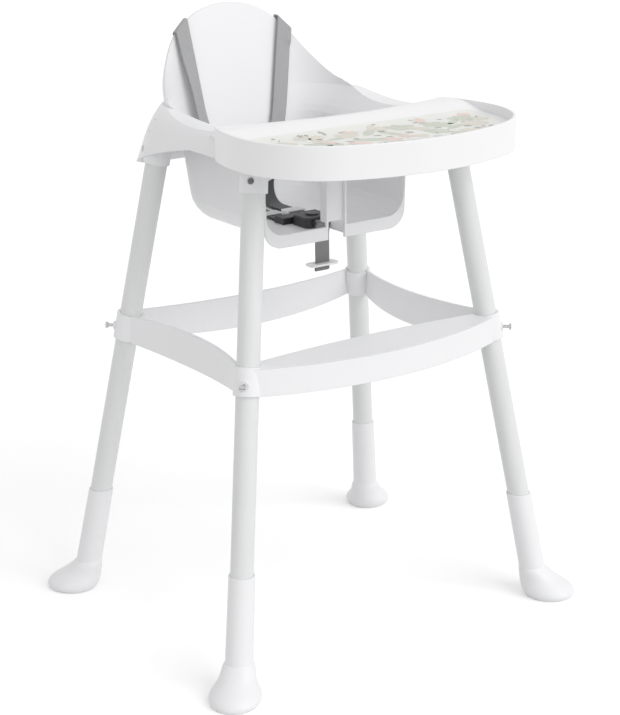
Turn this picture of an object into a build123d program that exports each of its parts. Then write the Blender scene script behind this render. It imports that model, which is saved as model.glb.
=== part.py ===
"""Baby high chair: a moulded seat on four splayed steel legs, with a slide-on tray and a harness.

Millimetres, +Z up, the seat faces -Y. The origin is on the floor, in the middle of the footprint.
Left is -X and right is +X, as seen from the front.
"""

import os
from math import asin, atan, cos, degrees, hypot, radians, sin, sqrt

from build123d import *

os.makedirs("parts", exist_ok=True)

SIDES = {"left": -1, "right": 1}
ENDS = {"front": -1, "rear": 1}

# --- legs: straight steel tubes that lean outwards on their way down -----------------------------
tube_radius = 16.0
tube_wall = 1.5
foot_spread_x = 274.5  # from the middle of the chair to a leg's axis, at the floor
foot_spread_y = 216.5
lean_x = 0.148  # how far a leg runs inwards for each unit of height
lean_y = 0.1375
leg_base = 8.0  # height of a tube's lower end, on the sole inside its foot
leg_top = 711.0  # height of a tube's upper end, inside its socket
leg_fit = 0.15  # radial clearance of a tube in its foot, brace collar or seat socket

# --- feet: moulded boots with a rounded toe that points outwards ----------------------------------
pad_length = 79.0  # along the leg's outward lean
pad_width = 72.0
pad_shift = 18.5  # how far the pad's middle lies outside the leg's axis
boot_top = 165.0
boot_wall = 2.2
boot_ankle = 47.0  # height at which the boot's toe runs out into its sleeve
sole_round = 3.5  # how much smaller the pad is at the floor
toe_low = 9.0  # height where the pad is largest
toe_middle = 21.0
toe_high = 33.0
toe_draw_in = 4.5  # how far the toe has drawn in at its middle height, in front and behind
flank_draw_in = 6.5  # the same beside it
toe_hollow = 2.5  # how far the toe's upper part lies inside a straight slope to the ankle
flank_hollow = 3.5
toe_middle_shift = 0.7  # share of the pad's shift that is left at these heights
toe_high_shift = 0.3
ankle_wall = 3.4
ankle_oval = 0.1  # how much narrower than long the sleeve is
boot_chamfer = 0.8

# --- brace: moulded frame half way up, whose front bar is the footrest ------------------------------
brace_top = 444.5
collar_height = 38.5
collar_wall = 3.8
bar_wall = 4.5
bar_inset = 4.0  # how far inside the collars' outer faces the side and rear bars start
bar_bow = 30.0  # how far the side and rear bars curve inwards
bar_belly = 12.0  # extra depth of those bars at their middle
footrest_bow = 43.0  # how far the footrest's front edge curves outwards
footrest_back_bow = 13.0
footrest_rib_gap = 60.0
collar_boss_radius = 6.5
collar_boss_height = 2.2

# --- seat shell: bucket, backrest, arms, skirt and the deck that carries the tray -------------------
wall = 3.2
seat_floor = 577.0  # underside of the bucket
bucket_reach = 71.5  # from the middle of the legs to the bucket's front
bucket_half = 125.0
bucket_draft = 4.0  # how much narrower the bucket is at its floor
bucket_corner = 50.0  # radius of the bucket's rear corners, seen from above
bucket_round = 42.0  # radius where the bucket's walls meet its floor
round_steps = 6  # flats that the rounded bottom is made of, seen in section
flare_steps = 5  # the same for the spread of the walls into the arms
flare_z = 700.0  # height where the walls start to spread into the arms
arm_z = 749.0  # top of the arms
arm_half = 160.0  # half width of the seat opening at the top of the arms
back_half = 162.0  # half width of the backrest
back_corner = 83.0
back_reach = 183.5  # from the middle of the legs to the backrest's rear face, at the top of the arms
back_lean = 0.19  # how far the backrest runs backwards for each unit of height
back_rise = 127.5  # how far the backrest's rim stands above the arms
back_round = 135.0  # radius of the backrest's top, seen from the front
wing_angle = 55.5  # how far that round runs down each side before the straight wing
wing_blend = 37.0  # radius where the wings run out into the arms
arm_dip = 11.0  # depth of the hollow in the top of each arm
arm_dip_y = 40.0  # how far behind the legs' middle that hollow is deepest
arm_drop = 4.0  # how much lower an arm is where it meets the tray
arm_tail_y = 121.0  # where the arms' tops run into the wings, behind the legs' middle
arm_tail_rise = 7.0
skirt_half_top = 184.0
skirt_half_low = 199.0
skirt_reach_top = 190.0  # from the middle of the legs to the skirt's rear face
skirt_reach_low = 209.0
skirt_corner_top = 100.0
skirt_corner_low = 76.0
skirt_corner_middle = 85.0
skirt_edge_z = 708.0  # lower edge of the skirt beside the bucket
skirt_tail_z = 651.0  # lower edge of the skirt behind the seat
skirt_arch_y = 8.0  # where that edge starts to fall, behind the middle of the legs
skirt_fall_x = 4.0  # how far in front of its chord's middle that falling edge bends
skirt_fall_z = 21.0  # how far below the skirt's edge it has fallen there
shoulder_drop = 17.0  # how far below the arms' crest their rounded shoulders end
shoulder_in = 15.0  # how far the shoulders draw in on the way up to the crest
skirt_swell = 1.0  # how far the skirt's sides stand out beyond a straight taper
skirt_rear_flare = 2.0  # how far the skirt's rear has flared at its middle height

lip_height = 18.5  # height of the lip along the bucket's front edge
lip_drop = 5.5  # how far the lip hangs below the bucket's floor
lip_side = 3.4  # width of the lip beside the leg openings
lip_thickness = 3.8
lip_corner = 28.0
opening_corner = 30.0
opening_top_z = 704.0
post_half = 17.5  # half width of the post between the leg openings
post_depth = 15.0
post_web = 3.0
post_end_z = 596.0  # lower end of the post's panel, above the notch
post_recess = 5.0

deck_z = 735.0  # top of the deck under the tray
deck_half = 181.0
deck_lip = 5.0  # how far the deck's edge stands out, for the tray to run on
deck_edge = 30.0  # depth of the deck's turned-down edge
deck_corner = 32.0
deck_under_arms = 20.0  # how far the deck runs back under the arms
socket_z = 670.0  # lower end of the leg sockets
socket_wall = 2.8
web_thickness = 3.0
web_rise = 36.0  # how far the web between the front sockets arches up at its middle
web_lift = 3.0
socket_rib = 15.0  # half length of the ribs above each socket

# --- tray ---------------------------------------------------------------------------------------
tray_reach = 300.0  # from the middle of the legs to the tray's front
tray_half = 214.0
tray_front_radius = 350.0
tray_side_radius = 130.0
tray_seam_half = 196.0
tray_seam = 62.0  # how far in front of the legs' middle the tray meets the arms
tray_back = 92.0  # the same for the middle of the tray's rear edge
tray_top = 752.0
tray_height = 44.5
tray_wall = 3.0
tray_rim = 4.5
tray_sink = 13.0  # depth of the tray's floor below its rim
ledge_front = 141.0  # the ledge in front of the child runs up from here
ledge_back = 100.0
ledge_blend = 70.0
tray_corner = 8.0
tray_rim_round = 1.2
tray_rear_cut = 70.0  # how far the opening for the deck runs in from the tray's rear
seam_gap = 1.0
slide_gap = 0.4
hook_back = 64.0
hook_length = 55.0
runner_back = 100.0
runner_length = 45.0
print_clear = 14.0  # between the print and the foot of the ledge
print_corner = 6.0
hook_reach = 2.6  # how far the tray's hooks reach under the deck's edge
hook_depth = 3.0
runner_x = 140.0
runner_width = 5.0
print_inset = 16.0
print_thickness = 0.5

# --- screws ---------------------------------------------------------------------------------------
brace_screw_z = 425.0
brace_screw_radius = 2.5
brace_screw_head = 4.6
brace_screw_cap = 3.4  # thickness of the head
brace_screw_stand = 9.0  # bare shank between the boss and the head
insert_radius = 3.6
insert_length = 9.0
insert_flange = 5.0
insert_flange_thickness = 1.2
socket_screw_z = 690.0
socket_screw_radius = 2.0
socket_screw_head = 3.6
socket_screw_cap = 2.2
socket_screw_sink = 1.2  # depth of the flat that the head sits on
socket_head_play = 1.0
screw_fit = 0.05  # radial clearance round a screw or an insert
screw_slot = 1.2
screw_length = 8.0  # how far a screw reaches inside the tube's outer face

# --- harness --------------------------------------------------------------------------------------
webbing = 1.6
webbing_width = 25.0
strap_rim_x = 91.0  # where a shoulder strap's middle crosses the backrest's rim
strap_tilt = 0.19  # how far the straps close in for each unit of height, down to the arms
strap_seat_x = 20.0  # where a strap's middle runs on the seat
strap_gap = 4.7  # between a shoulder strap and the backrest
strap_rim_gap = 1.2
strap_rim_lift = 1.3
strap_rim_bend = 2.4
strap_floor_gap = 2.4
strap_tail = 42.0  # how far a strap runs down behind the backrest
strap_bend = 46.0  # radius where a strap turns from the backrest to the seat's floor
strap_bar_gap = 0.3  # between the crotch strap and the bar that it is folded round
hem_length = 9.0
hem_thickness = 3.4
loop_bar = 3.0  # moulded bar behind the backrest that holds the strap's tail
loop_height = 7.0
loop_reach = 7.5  # how far that bar stands off the backrest
loop_width = 41.0
buckle_offset = 11.5  # how far the buckle lies in front of the legs' middle
buckle_length = 46.0
buckle_width = 40.0
buckle_height = 15.0
buckle_corner = 8.0
buckle_round = 3.0
buckle_rest_gap = 0.3
button_radius = 9.3
button_stand = 2.6
button_depth = 5.6
button_travel = 2.5
button_fit = 0.1
button_round = 0.8
tongue_length = 22.0
tongue_side = 2.9
tongue_height = 9.5
tongue_round = 2.0
tongue_rise = 8.0  # height of the blades above the underside of the buckle
blade_thickness = 2.5
blade_x = 12.0
blade_half = 7.4
blade_length = 9.5
blade_fit = 0.4
slot_play = 0.8
adjuster_length = 18.0
adjuster_side = 3.0
adjuster_skin = 1.6
adjuster_fit = 0.5
adjuster_bar = 4.0
adjuster_back = 63.5  # how far behind the legs' middle the shoulder straps' adjusters lie
stopper_length = 48.0
stopper_width = 20.0
stopper_thickness = 3.0
stopper_corner = 5.0
crotch_drop = 48.0  # how far the crotch strap's stopper hangs below the seat
lug_radius = 2.0
lug_reach = 4.6  # from the buckle's front to the middle of its strap bar
notch_half = 14.0
notch_play = 6.0
notch_corner = 3.0

# --- sizes that follow from the ones above ---------------------------------------------------------
splay = hypot(lean_x, lean_y)
out_x = lean_x / splay  # outward direction of the splay, seen from above
out_y = lean_y / splay
pad_extent_x = foot_spread_x + pad_shift * out_x + hypot(pad_length * out_x, pad_width * out_y) / 2
pad_extent_y = foot_spread_y + pad_shift * out_y + hypot(pad_length * out_y, pad_width * out_x) / 2
back_top = arm_z + back_rise
mid_y = (tray_reach - pad_extent_y) / 2  # middle of the legs, so that the origin is mid footprint

bucket_front = mid_y - bucket_reach
tray_front = mid_y - tray_reach
seam_y = mid_y - tray_seam + seam_gap  # front face of the arms
tray_bottom = tray_top - tray_height
tray_floor = tray_top - tray_sink
brace_bottom = brace_top - collar_height
collar_radius = tube_radius + leg_fit + collar_wall
socket_radius = tube_radius + leg_fit + socket_wall
tray_cut_half = foot_spread_x - lean_x * tray_bottom + socket_radius + 2 * slide_gap  # past the sockets
deck_front = mid_y - (foot_spread_y - lean_y * socket_z) - socket_radius - wall
back_centre_z = back_top - back_round  # centre of the backrest's top round
wide = 2 * (pad_extent_x + tray_reach)  # larger than the chair, for cutting tools
strap_rim_z = back_centre_z + sqrt(back_round**2 - strap_rim_x**2)  # height of the rim under a strap's middle
buckle_y = mid_y - buckle_offset
buckle_z = seat_floor + wall + buckle_rest_gap
tongue_z = buckle_z + tongue_rise
lug_z = tongue_z
strap_z = seat_floor + wall + strap_floor_gap + webbing / 2  # middle of a strap on the seat
crotch_y = buckle_y - buckle_width / 2 - lug_reach
loop_z = strap_rim_z - strap_tail
web_y = mid_y - (foot_spread_y - lean_y * (socket_z + web_rise))
lean_length = sqrt(1 + splay**2)  # length of a leg for each unit of height


def leg_point(side, end, z):
    """Return the point on a leg's axis at height z."""
    return Vector(side * (foot_spread_x - lean_x * z), mid_y + end * (foot_spread_y - lean_y * z), z)


def leg_plane(side, end, z):
    """Return the plane square to a leg at height z."""
    return Plane(leg_point(side, end, z), z_dir=(-side * lean_x, -end * lean_y, 1))


def screw_plane(side, end, z):
    """Return a plane on a leg's axis whose normal points out of the chair's corner."""
    return Plane(leg_point(side, end, z), x_dir=(0, 0, 1), z_dir=(side * out_x, end * out_y, 0))


def back_y(z):
    """Return the backrest's rear face at height z."""
    return mid_y + back_reach + back_lean * (z - arm_z)


def rear_round(z, half, front, back, corner):
    """Return a plan at height z: a rectangle whose rear corners are rounded."""
    with BuildSketch(Plane.XY.offset(z)) as plan:
        with Locations((0, (front + back) / 2)):
            Rectangle(2 * half, back - front)
        fillet(plan.vertices().group_by(Axis.Y)[-1], corner)
    return plan.sketch


# --- legs and feet ----------------------------------------------------------------------------------
def make_leg(side, end):
    """Make one leg tube, drilled for its brace screw and its socket screw."""
    with BuildPart() as leg:
        with BuildSketch(leg_plane(side, end, leg_base)):
            Circle(tube_radius)
            Circle(tube_radius - tube_wall, mode=Mode.SUBTRACT)
        extrude(amount=(leg_top - leg_base) * lean_length)
        with BuildSketch(screw_plane(side, end, brace_screw_z)):
            Circle(insert_radius + screw_fit)
        extrude(amount=2 * tube_radius, mode=Mode.SUBTRACT)
        with BuildSketch(screw_plane(side, end, socket_screw_z)):
            Circle(socket_screw_radius + screw_fit)
        extrude(amount=2 * tube_radius, mode=Mode.SUBTRACT)
    return leg.part


def boot_section(side, end, z, half_length, half_width, shift):
    """Return an ellipse at height z whose long axis points out of the chair's corner."""
    centre = leg_point(side, end, z)
    with BuildSketch(Plane.XY.offset(z)) as section:
        with Locations((centre.X + side * shift * out_x, centre.Y + end * shift * out_y)):
            Ellipse(half_length, half_width, rotation=degrees(atan(out_y / out_x)) * side * end)
    return section.sketch


def make_foot(side, end):
    """Make one boot: a rounded pad that closes into a sleeve around the tube."""
    ankle = tube_radius + leg_fit + ankle_wall
    cuff = tube_radius + leg_fit + boot_wall
    # height, half length, half width and outward shift of each level of the toe
    levels = [
        (0, pad_length / 2 - sole_round, pad_width / 2 - sole_round, pad_shift),
        (toe_low, pad_length / 2, pad_width / 2, pad_shift),
        (toe_middle, pad_length / 2 - toe_draw_in, pad_width / 2 - flank_draw_in,
         pad_shift * toe_middle_shift),
        (toe_high, (pad_length / 2 + ankle) / 2 - toe_hollow, (pad_width / 2 + ankle) / 2 - flank_hollow,
         pad_shift * toe_high_shift),
        (boot_ankle, ankle, ankle - ankle_oval, 0),
    ]
    with BuildPart() as foot:
        loft([boot_section(side, end, *level) for level in levels])
        sleeve = [(boot_ankle, ankle, ankle - ankle_oval, 0), (boot_top, cuff, cuff - ankle_oval, 0)]
        loft([boot_section(side, end, *level) for level in sleeve])
        chamfer(foot.edges().sort_by(Axis.Z)[-1], boot_chamfer)
        with BuildSketch(leg_plane(side, end, leg_base)):
            Circle(tube_radius + leg_fit)
        extrude(amount=boot_top, mode=Mode.SUBTRACT)
    return foot.part


# --- brace ------------------------------------------------------------------------------------------
def brace_corner():
    """Return how far a leg's axis lies from the middle of the legs at the brace, along X and Y."""
    z = brace_top - collar_height / 2
    return foot_spread_x - lean_x * z, foot_spread_y - lean_y * z


def lens(plane, half_span, outer, outer_bow, inner, inner_bow):
    """Return a shape between two arcs across a plane's x, each with its own bow along the plane's y."""
    with BuildSketch(plane) as shape:
        with BuildLine():
            near = ThreePointArc((-half_span, outer), (0, outer + outer_bow), (half_span, outer))
            far = ThreePointArc((-half_span, inner), (0, inner + inner_bow), (half_span, inner))
            Line(near @ 0, far @ 0)
            Line(near @ 1, far @ 1)
        make_face()
    return shape.sketch


def make_bar(heading, reach, half_span):
    """Make one bowed bar whose outer face ends at reach, along the horizontal direction heading."""
    across = Plane(origin=(0, mid_y, 0), x_dir=heading.cross(Vector(0, 0, 1)), z_dir=(0, 0, 1))
    low = brace_bottom - bar_belly
    with BuildPart() as bar:
        plan = lens(across.offset(low), half_span, reach, -bar_bow, reach - bar_wall, -bar_bow)
        extrude(plan, amount=brace_top - low)
        side_on = Plane(origin=across.origin, x_dir=across.x_dir, z_dir=heading)
        floor = -wide if side_on.y_dir.Z > 0 else wide
        up = 1 if side_on.y_dir.Z > 0 else -1
        with BuildSketch(side_on) as belly:
            with BuildLine():
                curve = ThreePointArc((-half_span, up * brace_bottom), (0, up * low),
                                      (half_span, up * brace_bottom))
                Polyline(curve @ 1, (half_span, floor), (-half_span, floor), curve @ 0)
            make_face()
        extrude(amount=2 * reach, mode=Mode.SUBTRACT)
    return bar.part


def make_leg_brace():
    """Make the brace: four collars joined by three bowed bars and the footrest."""
    corner_x, corner_y = brace_corner()
    front_y = mid_y - corner_y
    face = collar_radius - bar_wall / 2
    bars = [
        make_bar(Vector(1, 0, 0), corner_x + face - bar_inset, corner_y),
        make_bar(Vector(-1, 0, 0), corner_x + face - bar_inset, corner_y),
        make_bar(Vector(0, 1, 0), corner_y + face - bar_inset, corner_x),
    ]
    rib_count = int(2 * corner_x / footrest_rib_gap)
    with BuildPart() as brace:
        add(bars)
        plan = lens(Plane.XY.offset(brace_bottom), corner_x, front_y - face, -footrest_bow,
                    front_y + tube_radius / 2, footrest_back_bow)
        extrude(plan, amount=collar_height)
        with BuildSketch(Plane.XY.offset(brace_bottom)):
            add(lens(Plane.XY, corner_x, front_y - face + bar_wall, -footrest_bow,
                     front_y + tube_radius / 2 - bar_wall, footrest_back_bow))
            with Locations((0, front_y)):
                with GridLocations(2 * corner_x / rib_count, 0, rib_count, 1):
                    Rectangle(bar_wall / 2, wide, mode=Mode.SUBTRACT)
        extrude(amount=collar_height - bar_wall, mode=Mode.SUBTRACT)
        for side in SIDES.values():
            for end in ENDS.values():
                with BuildSketch(leg_plane(side, end, brace_bottom)):
                    Circle(collar_radius)
                extrude(amount=collar_height * lean_length)
                with BuildSketch(screw_plane(side, end, brace_screw_z)):
                    Circle(collar_boss_radius)
                extrude(amount=collar_radius + collar_boss_height)
        for side in SIDES.values():
            for end in ENDS.values():
                with BuildSketch(leg_plane(side, end, brace_bottom - bar_belly)):
                    Circle(tube_radius + leg_fit)
                extrude(amount=collar_height + 3 * bar_belly, mode=Mode.SUBTRACT)
                with BuildSketch(screw_plane(side, end, brace_screw_z)):
                    Circle(brace_screw_radius + screw_fit)
                extrude(amount=2 * collar_radius, mode=Mode.SUBTRACT)
    return brace.part


# --- seat shell -------------------------------------------------------------------------------------
def tub(inset, bottom, top):
    """Make the solid inside the bucket and backrest's outer face, drawn in by inset all round."""
    curve = bucket_round - inset
    # height, half width, corner radius and how far the rounded bottom draws the plan in
    levels = []
    for step in range(round_steps + 1):
        angle = radians(90 * step / round_steps)
        levels.append((bottom + curve * (1 - cos(angle)), bucket_half - bucket_draft, bucket_corner,
                       curve * (1 - sin(angle))))
    for step in range(flare_steps + 1):
        share = step / flare_steps
        ease = share * share * (2 - share)
        levels.append((flare_z + share * (arm_z - flare_z), bucket_half + ease * (arm_half - bucket_half),
                       bucket_corner + ease * (back_corner - bucket_corner), 0))
    levels.append((top, back_half, back_corner, 0))
    with BuildPart() as block:
        loft([rear_round(z, half - inset - pull, bucket_front + inset, back_y(z) - inset - pull,
                         corner - inset - pull) for z, half, corner, pull in levels], ruled=True)
    return block.part


def above_arms(drop):
    """Return the region above the arms, seen from the side, lowered by drop."""
    start = seam_y - wall
    tail = mid_y + arm_tail_y
    top = arm_z - drop
    with BuildSketch(Plane.YZ) as region:
        with BuildLine():
            dip = ThreePointArc((start, top - arm_drop), (mid_y + arm_dip_y, top - arm_dip),
                                (tail, top + arm_tail_rise))
            Polyline(dip @ 1, (tail, top + wide), (start, top + wide), dip @ 0)
        make_face()
    return region.sketch


def below_skirt():
    """Return the region below the skirt, seen from the side."""
    start = seam_y - wall
    arch = mid_y + skirt_arch_y
    tail = mid_y + skirt_reach_low
    with BuildSketch(Plane.YZ) as region:
        with BuildLine():
            flat = Line((start, skirt_edge_z), (arch, skirt_edge_z))
            fall = ThreePointArc(flat @ 1, ((arch + tail) / 2 - skirt_fall_x, skirt_edge_z - skirt_fall_z),
                                 (tail, skirt_tail_z))
            Polyline(fall @ 1, (tail + wide, skirt_tail_z), (tail + wide, 0), (start, 0), flat @ 0)
        make_face()
    return region.sketch


def skirt(inset):
    """Make the solid inside the skirt's outer face, drawn in by inset all round."""
    levels = [
        (skirt_tail_z, skirt_half_low, skirt_reach_low, skirt_corner_low),
        ((skirt_tail_z + arm_z) / 2, (skirt_half_low + skirt_half_top) / 2 + skirt_swell,
         skirt_reach_top + skirt_rear_flare,
         skirt_corner_middle),
        (arm_z - shoulder_drop, skirt_half_top, skirt_reach_top, skirt_corner_top),
        (arm_z - inset, skirt_half_top - shoulder_in, skirt_reach_top, skirt_corner_top),
    ]
    with BuildPart() as block:
        loft([rear_round(z, half - inset, seam_y + inset, mid_y + reach - inset, corner - inset)
              for z, half, reach, corner in levels])
        extrude(above_arms(inset), amount=wide, both=True, mode=Mode.SUBTRACT)
        extrude(below_skirt(), amount=wide, both=True, mode=Mode.SUBTRACT)
    return block.part


def above_back():
    """Return the region above the backrest's rim, seen from the front."""
    angle = radians(wing_angle)
    foot_x = back_round * sin(angle)
    foot_z = back_centre_z + back_round * cos(angle)
    wing_x = foot_x + (foot_z - arm_z) / sin(angle) * cos(angle)
    with BuildSketch(Plane.XZ) as region:
        with BuildLine():
            crown = CenterArc((0, back_centre_z), back_round, 90 - wing_angle, 2 * wing_angle)
            Polyline(crown @ 0, (wing_x, arm_z), (wide, arm_z), (wide, wide), (-wide, wide), (-wide, arm_z),
                     (-wing_x, arm_z), crown @ 1)
        make_face()
        feet = region.vertices().group_by(Axis.Y)[0].sort_by(Axis.X)[1:-1]
        fillet(feet, wing_blend)
    return region.sketch


def leg_opening(plane):
    """Return the two leg openings, seen from the front, each with a rounded outer corner."""
    top_half = bucket_half - lip_side
    low_half = top_half - bucket_draft / 2
    low_z = seat_floor - lip_drop + lip_height
    with BuildSketch(plane) as openings:
        with BuildLine():
            Polyline((post_half, low_z), (low_half, low_z), (top_half, opening_top_z),
                     (post_half, opening_top_z), (post_half, low_z))
        make_face()
        outer = openings.vertices().group_by(Axis.Y)[0].sort_by(Axis.X)[-1]
        fillet(outer, opening_corner)
        mirror(about=Plane.YZ)
    return openings.sketch


def deck_plan(inset):
    """Return the deck's plan: it runs from its rounded front edge back under the arms."""
    with BuildSketch() as plan:
        with Locations((0, (deck_front + seam_y + deck_under_arms) / 2)):
            Rectangle(2 * (deck_half - inset), seam_y + deck_under_arms - deck_front - 2 * inset)
        fillet(plan.vertices().group_by(Axis.Y)[0], deck_corner - inset)
    return plan.sketch


def front_web():
    """Return the web between the front sockets, seen from the front: its lower edge is an arch."""
    half = foot_spread_x - lean_x * socket_z
    with BuildSketch(Plane.XZ.offset(-web_y)) as web:
        with BuildLine():
            arch = ThreePointArc((-half, socket_z + web_lift), (0, socket_z + web_rise),
                                 (half, socket_z + web_lift))
            Polyline(arch @ 1, (half, deck_z - wall / 2), (-half, deck_z - wall / 2), arch @ 0)
        make_face()
    return web.sketch


def lip_plate():
    """Return the outline of the bucket's front lip, seen from the front."""
    half = bucket_half - bucket_draft
    with BuildSketch(Plane.XZ.offset(-bucket_front)) as lip:
        with BuildLine():
            Polyline((-bucket_half, flare_z), (-half, seat_floor - lip_drop), (half, seat_floor - lip_drop),
                     (bucket_half, flare_z), (-bucket_half, flare_z))
        make_face()
        fillet(lip.vertices().group_by(Axis.Y)[0], lip_corner)
    return lip.sketch


def make_seat_shell():
    """Make the seat: bucket, backrest, arms, skirt, deck, leg sockets, lip and post."""
    arm_skin = arm_z - arm_dip - wall
    with BuildPart() as shell:
        # the deck, its turned-down edge and the lip that the tray runs on
        with BuildSketch(Plane.XY.offset(deck_z - deck_edge)):
            add(deck_plan(0))
        extrude(amount=deck_edge)
        with BuildSketch(Plane.XY.offset(deck_z - wall)):
            add(deck_plan(-deck_lip))
        extrude(amount=wall)
        with BuildSketch(Plane.XY.offset(deck_z - deck_edge)):
            add(deck_plan(wall))
        extrude(amount=deck_edge - wall, mode=Mode.SUBTRACT)
        # the skirt
        add(skirt(0))
        add(skirt(wall), mode=Mode.SUBTRACT)
        # the web between the front sockets
        extrude(front_web(), amount=web_thickness / 2, both=True)
        # the leg sockets, each with two crossing ribs up to the skin above it
        for side in SIDES.values():
            for end in ENDS.values():
                top = deck_z - wall / 2 if end < 0 else arm_skin
                with BuildSketch(leg_plane(side, end, socket_z)):
                    Circle(socket_radius)
                extrude(amount=(leg_top + wall - socket_z) * lean_length)
                crest = leg_point(side, end, top)
                with BuildSketch(Plane.XY.offset(leg_top)):
                    with Locations((crest.X, crest.Y)):
                        Rectangle(2 * socket_rib, web_thickness)
                        Rectangle(web_thickness, 2 * socket_rib)
                extrude(amount=top - leg_top)
        add(tub(0, seat_floor, back_top + wall))
        with BuildSketch(Plane.XY.offset(deck_z)):
            Rectangle(wide, 2 * (wide + seam_y), align=(Align.CENTER, Align.MAX))
            with Locations((0, seam_y)):
                Rectangle(wide, wide, align=(Align.CENTER, Align.MIN), mode=Mode.SUBTRACT)
        extrude(amount=wide, mode=Mode.SUBTRACT)
        add(tub(wall, seat_floor + wall, back_top + 2 * wall), mode=Mode.SUBTRACT)
        extrude(above_back(), amount=wide, both=True, mode=Mode.SUBTRACT)
        extrude(above_arms(0), amount=wide, both=True, mode=Mode.SUBTRACT)
        # the lip round the bucket's open front, the post and the two leg openings
        extrude(lip_plate(), amount=-lip_thickness)
        with BuildSketch(Plane.XY.offset(post_end_z)):
            with Locations((0, bucket_front)):
                Rectangle(2 * post_half, post_depth, align=(Align.CENTER, Align.MIN))
        extrude(amount=deck_z - wall - post_end_z)
        with BuildSketch(Plane.XY.offset(seat_floor - lip_drop)):
            with Locations((0, bucket_front)):
                Rectangle(2 * (post_half - wall), post_recess, align=(Align.CENTER, Align.MIN))
                with Locations((0, post_recess + post_web)):
                    Rectangle(2 * (post_half - wall), post_depth, align=(Align.CENTER, Align.MIN))
        extrude(amount=opening_top_z - seat_floor + lip_drop, mode=Mode.SUBTRACT)
        extrude(leg_opening(Plane.XZ.offset(-bucket_front)), amount=lip_thickness + wall, both=True,
                mode=Mode.SUBTRACT)
        with BuildSketch(Plane.XY.offset(seat_floor - 2 * lip_drop)):
            with Locations((0, bucket_front - wall)):
                Rectangle(2 * notch_half, crotch_y + notch_play - bucket_front + wall,
                          align=(Align.CENTER, Align.MIN))
            fillet(vertices().group_by(Axis.Y)[-1], notch_corner)
        extrude(amount=post_end_z - seat_floor + 2 * lip_drop, mode=Mode.SUBTRACT)
        # the bores for the legs and their screws
        for side in SIDES.values():
            for end in ENDS.values():
                with BuildSketch(leg_plane(side, end, socket_z - wall)):
                    Circle(tube_radius + leg_fit)
                extrude(amount=(leg_top + leg_fit - socket_z + wall) * lean_length, mode=Mode.SUBTRACT)
                with BuildSketch(screw_plane(side, end, socket_screw_z)):
                    Circle(socket_screw_radius + screw_fit)
                extrude(amount=socket_radius + wall, mode=Mode.SUBTRACT)
                seat = screw_plane(side, end, socket_screw_z).offset(socket_radius - socket_screw_sink)
                with BuildSketch(seat):
                    Circle(socket_screw_head + socket_head_play)
                extrude(amount=2 * socket_radius, mode=Mode.SUBTRACT)
        # the bars behind the backrest that hold the tails of the shoulder straps
        for side in SIDES.values():
            with BuildSketch(Plane.XY.offset(loop_z)):
                with Locations((side * strap_x(loop_z), back_y(loop_z))):
                    with Locations((0, loop_reach + loop_bar / 2 - wall / 2)):
                        Rectangle(loop_width, loop_bar)
                    with GridLocations(loop_width - loop_bar, 0, 2, 1):
                        Rectangle(loop_bar, loop_reach, align=(Align.CENTER, Align.MIN))
            extrude(amount=loop_height)
    return shell.part


# --- tray -------------------------------------------------------------------------------------------
def tray_plan(inset):
    """Return the tray's plan, drawn in by inset all round: arcs in front and beside, a waisted rear."""
    seam_half = tray_seam_half - inset
    rear = mid_y - tray_seam - inset
    spread = tray_front_radius - tray_side_radius
    side_x = tray_half - tray_side_radius
    turn = degrees(asin(side_x / spread))
    front_y = tray_front + tray_front_radius
    side_y = front_y - sqrt(spread**2 - side_x**2)
    with BuildSketch() as plan:
        with BuildLine():
            CenterArc((0, front_y), tray_front_radius - inset, 270 - turn, 2 * turn)
            east = CenterArc((side_x, side_y), tray_side_radius - inset, 270 + turn, 90 - turn)
            west = CenterArc((-side_x, side_y), tray_side_radius - inset, 180, 90 - turn)
            right = TangentArc(east @ 1, (seam_half, rear), tangent=(0, 1))
            left = TangentArc(west @ 0, (-seam_half, rear), tangent=(0, 1))
            ThreePointArc(left @ 1, (0, mid_y - tray_back - inset), right @ 1)
        make_face()
        fillet(plan.vertices().group_by(Axis.Y)[-1], tray_corner * tray_rim / (tray_rim + inset))
    return plan.sketch


def above_floor(drop):
    """Return the region above the tray's floor and ledge, seen from the side, lowered by drop."""
    floor = tray_floor - drop
    ledge = tray_top - drop
    with BuildSketch(Plane.YZ) as region:
        with BuildLine():
            ramp = FilletPolyline((tray_front - wall, floor), (mid_y - ledge_front, floor),
                                  (mid_y - ledge_back, ledge), (seam_y + wall, ledge), radius=ledge_blend)
            Polyline(ramp @ 1, (seam_y + wall, tray_top + wall), (tray_front - wall, tray_top + wall),
                     ramp @ 0)
        make_face()
    return region.sketch


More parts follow.
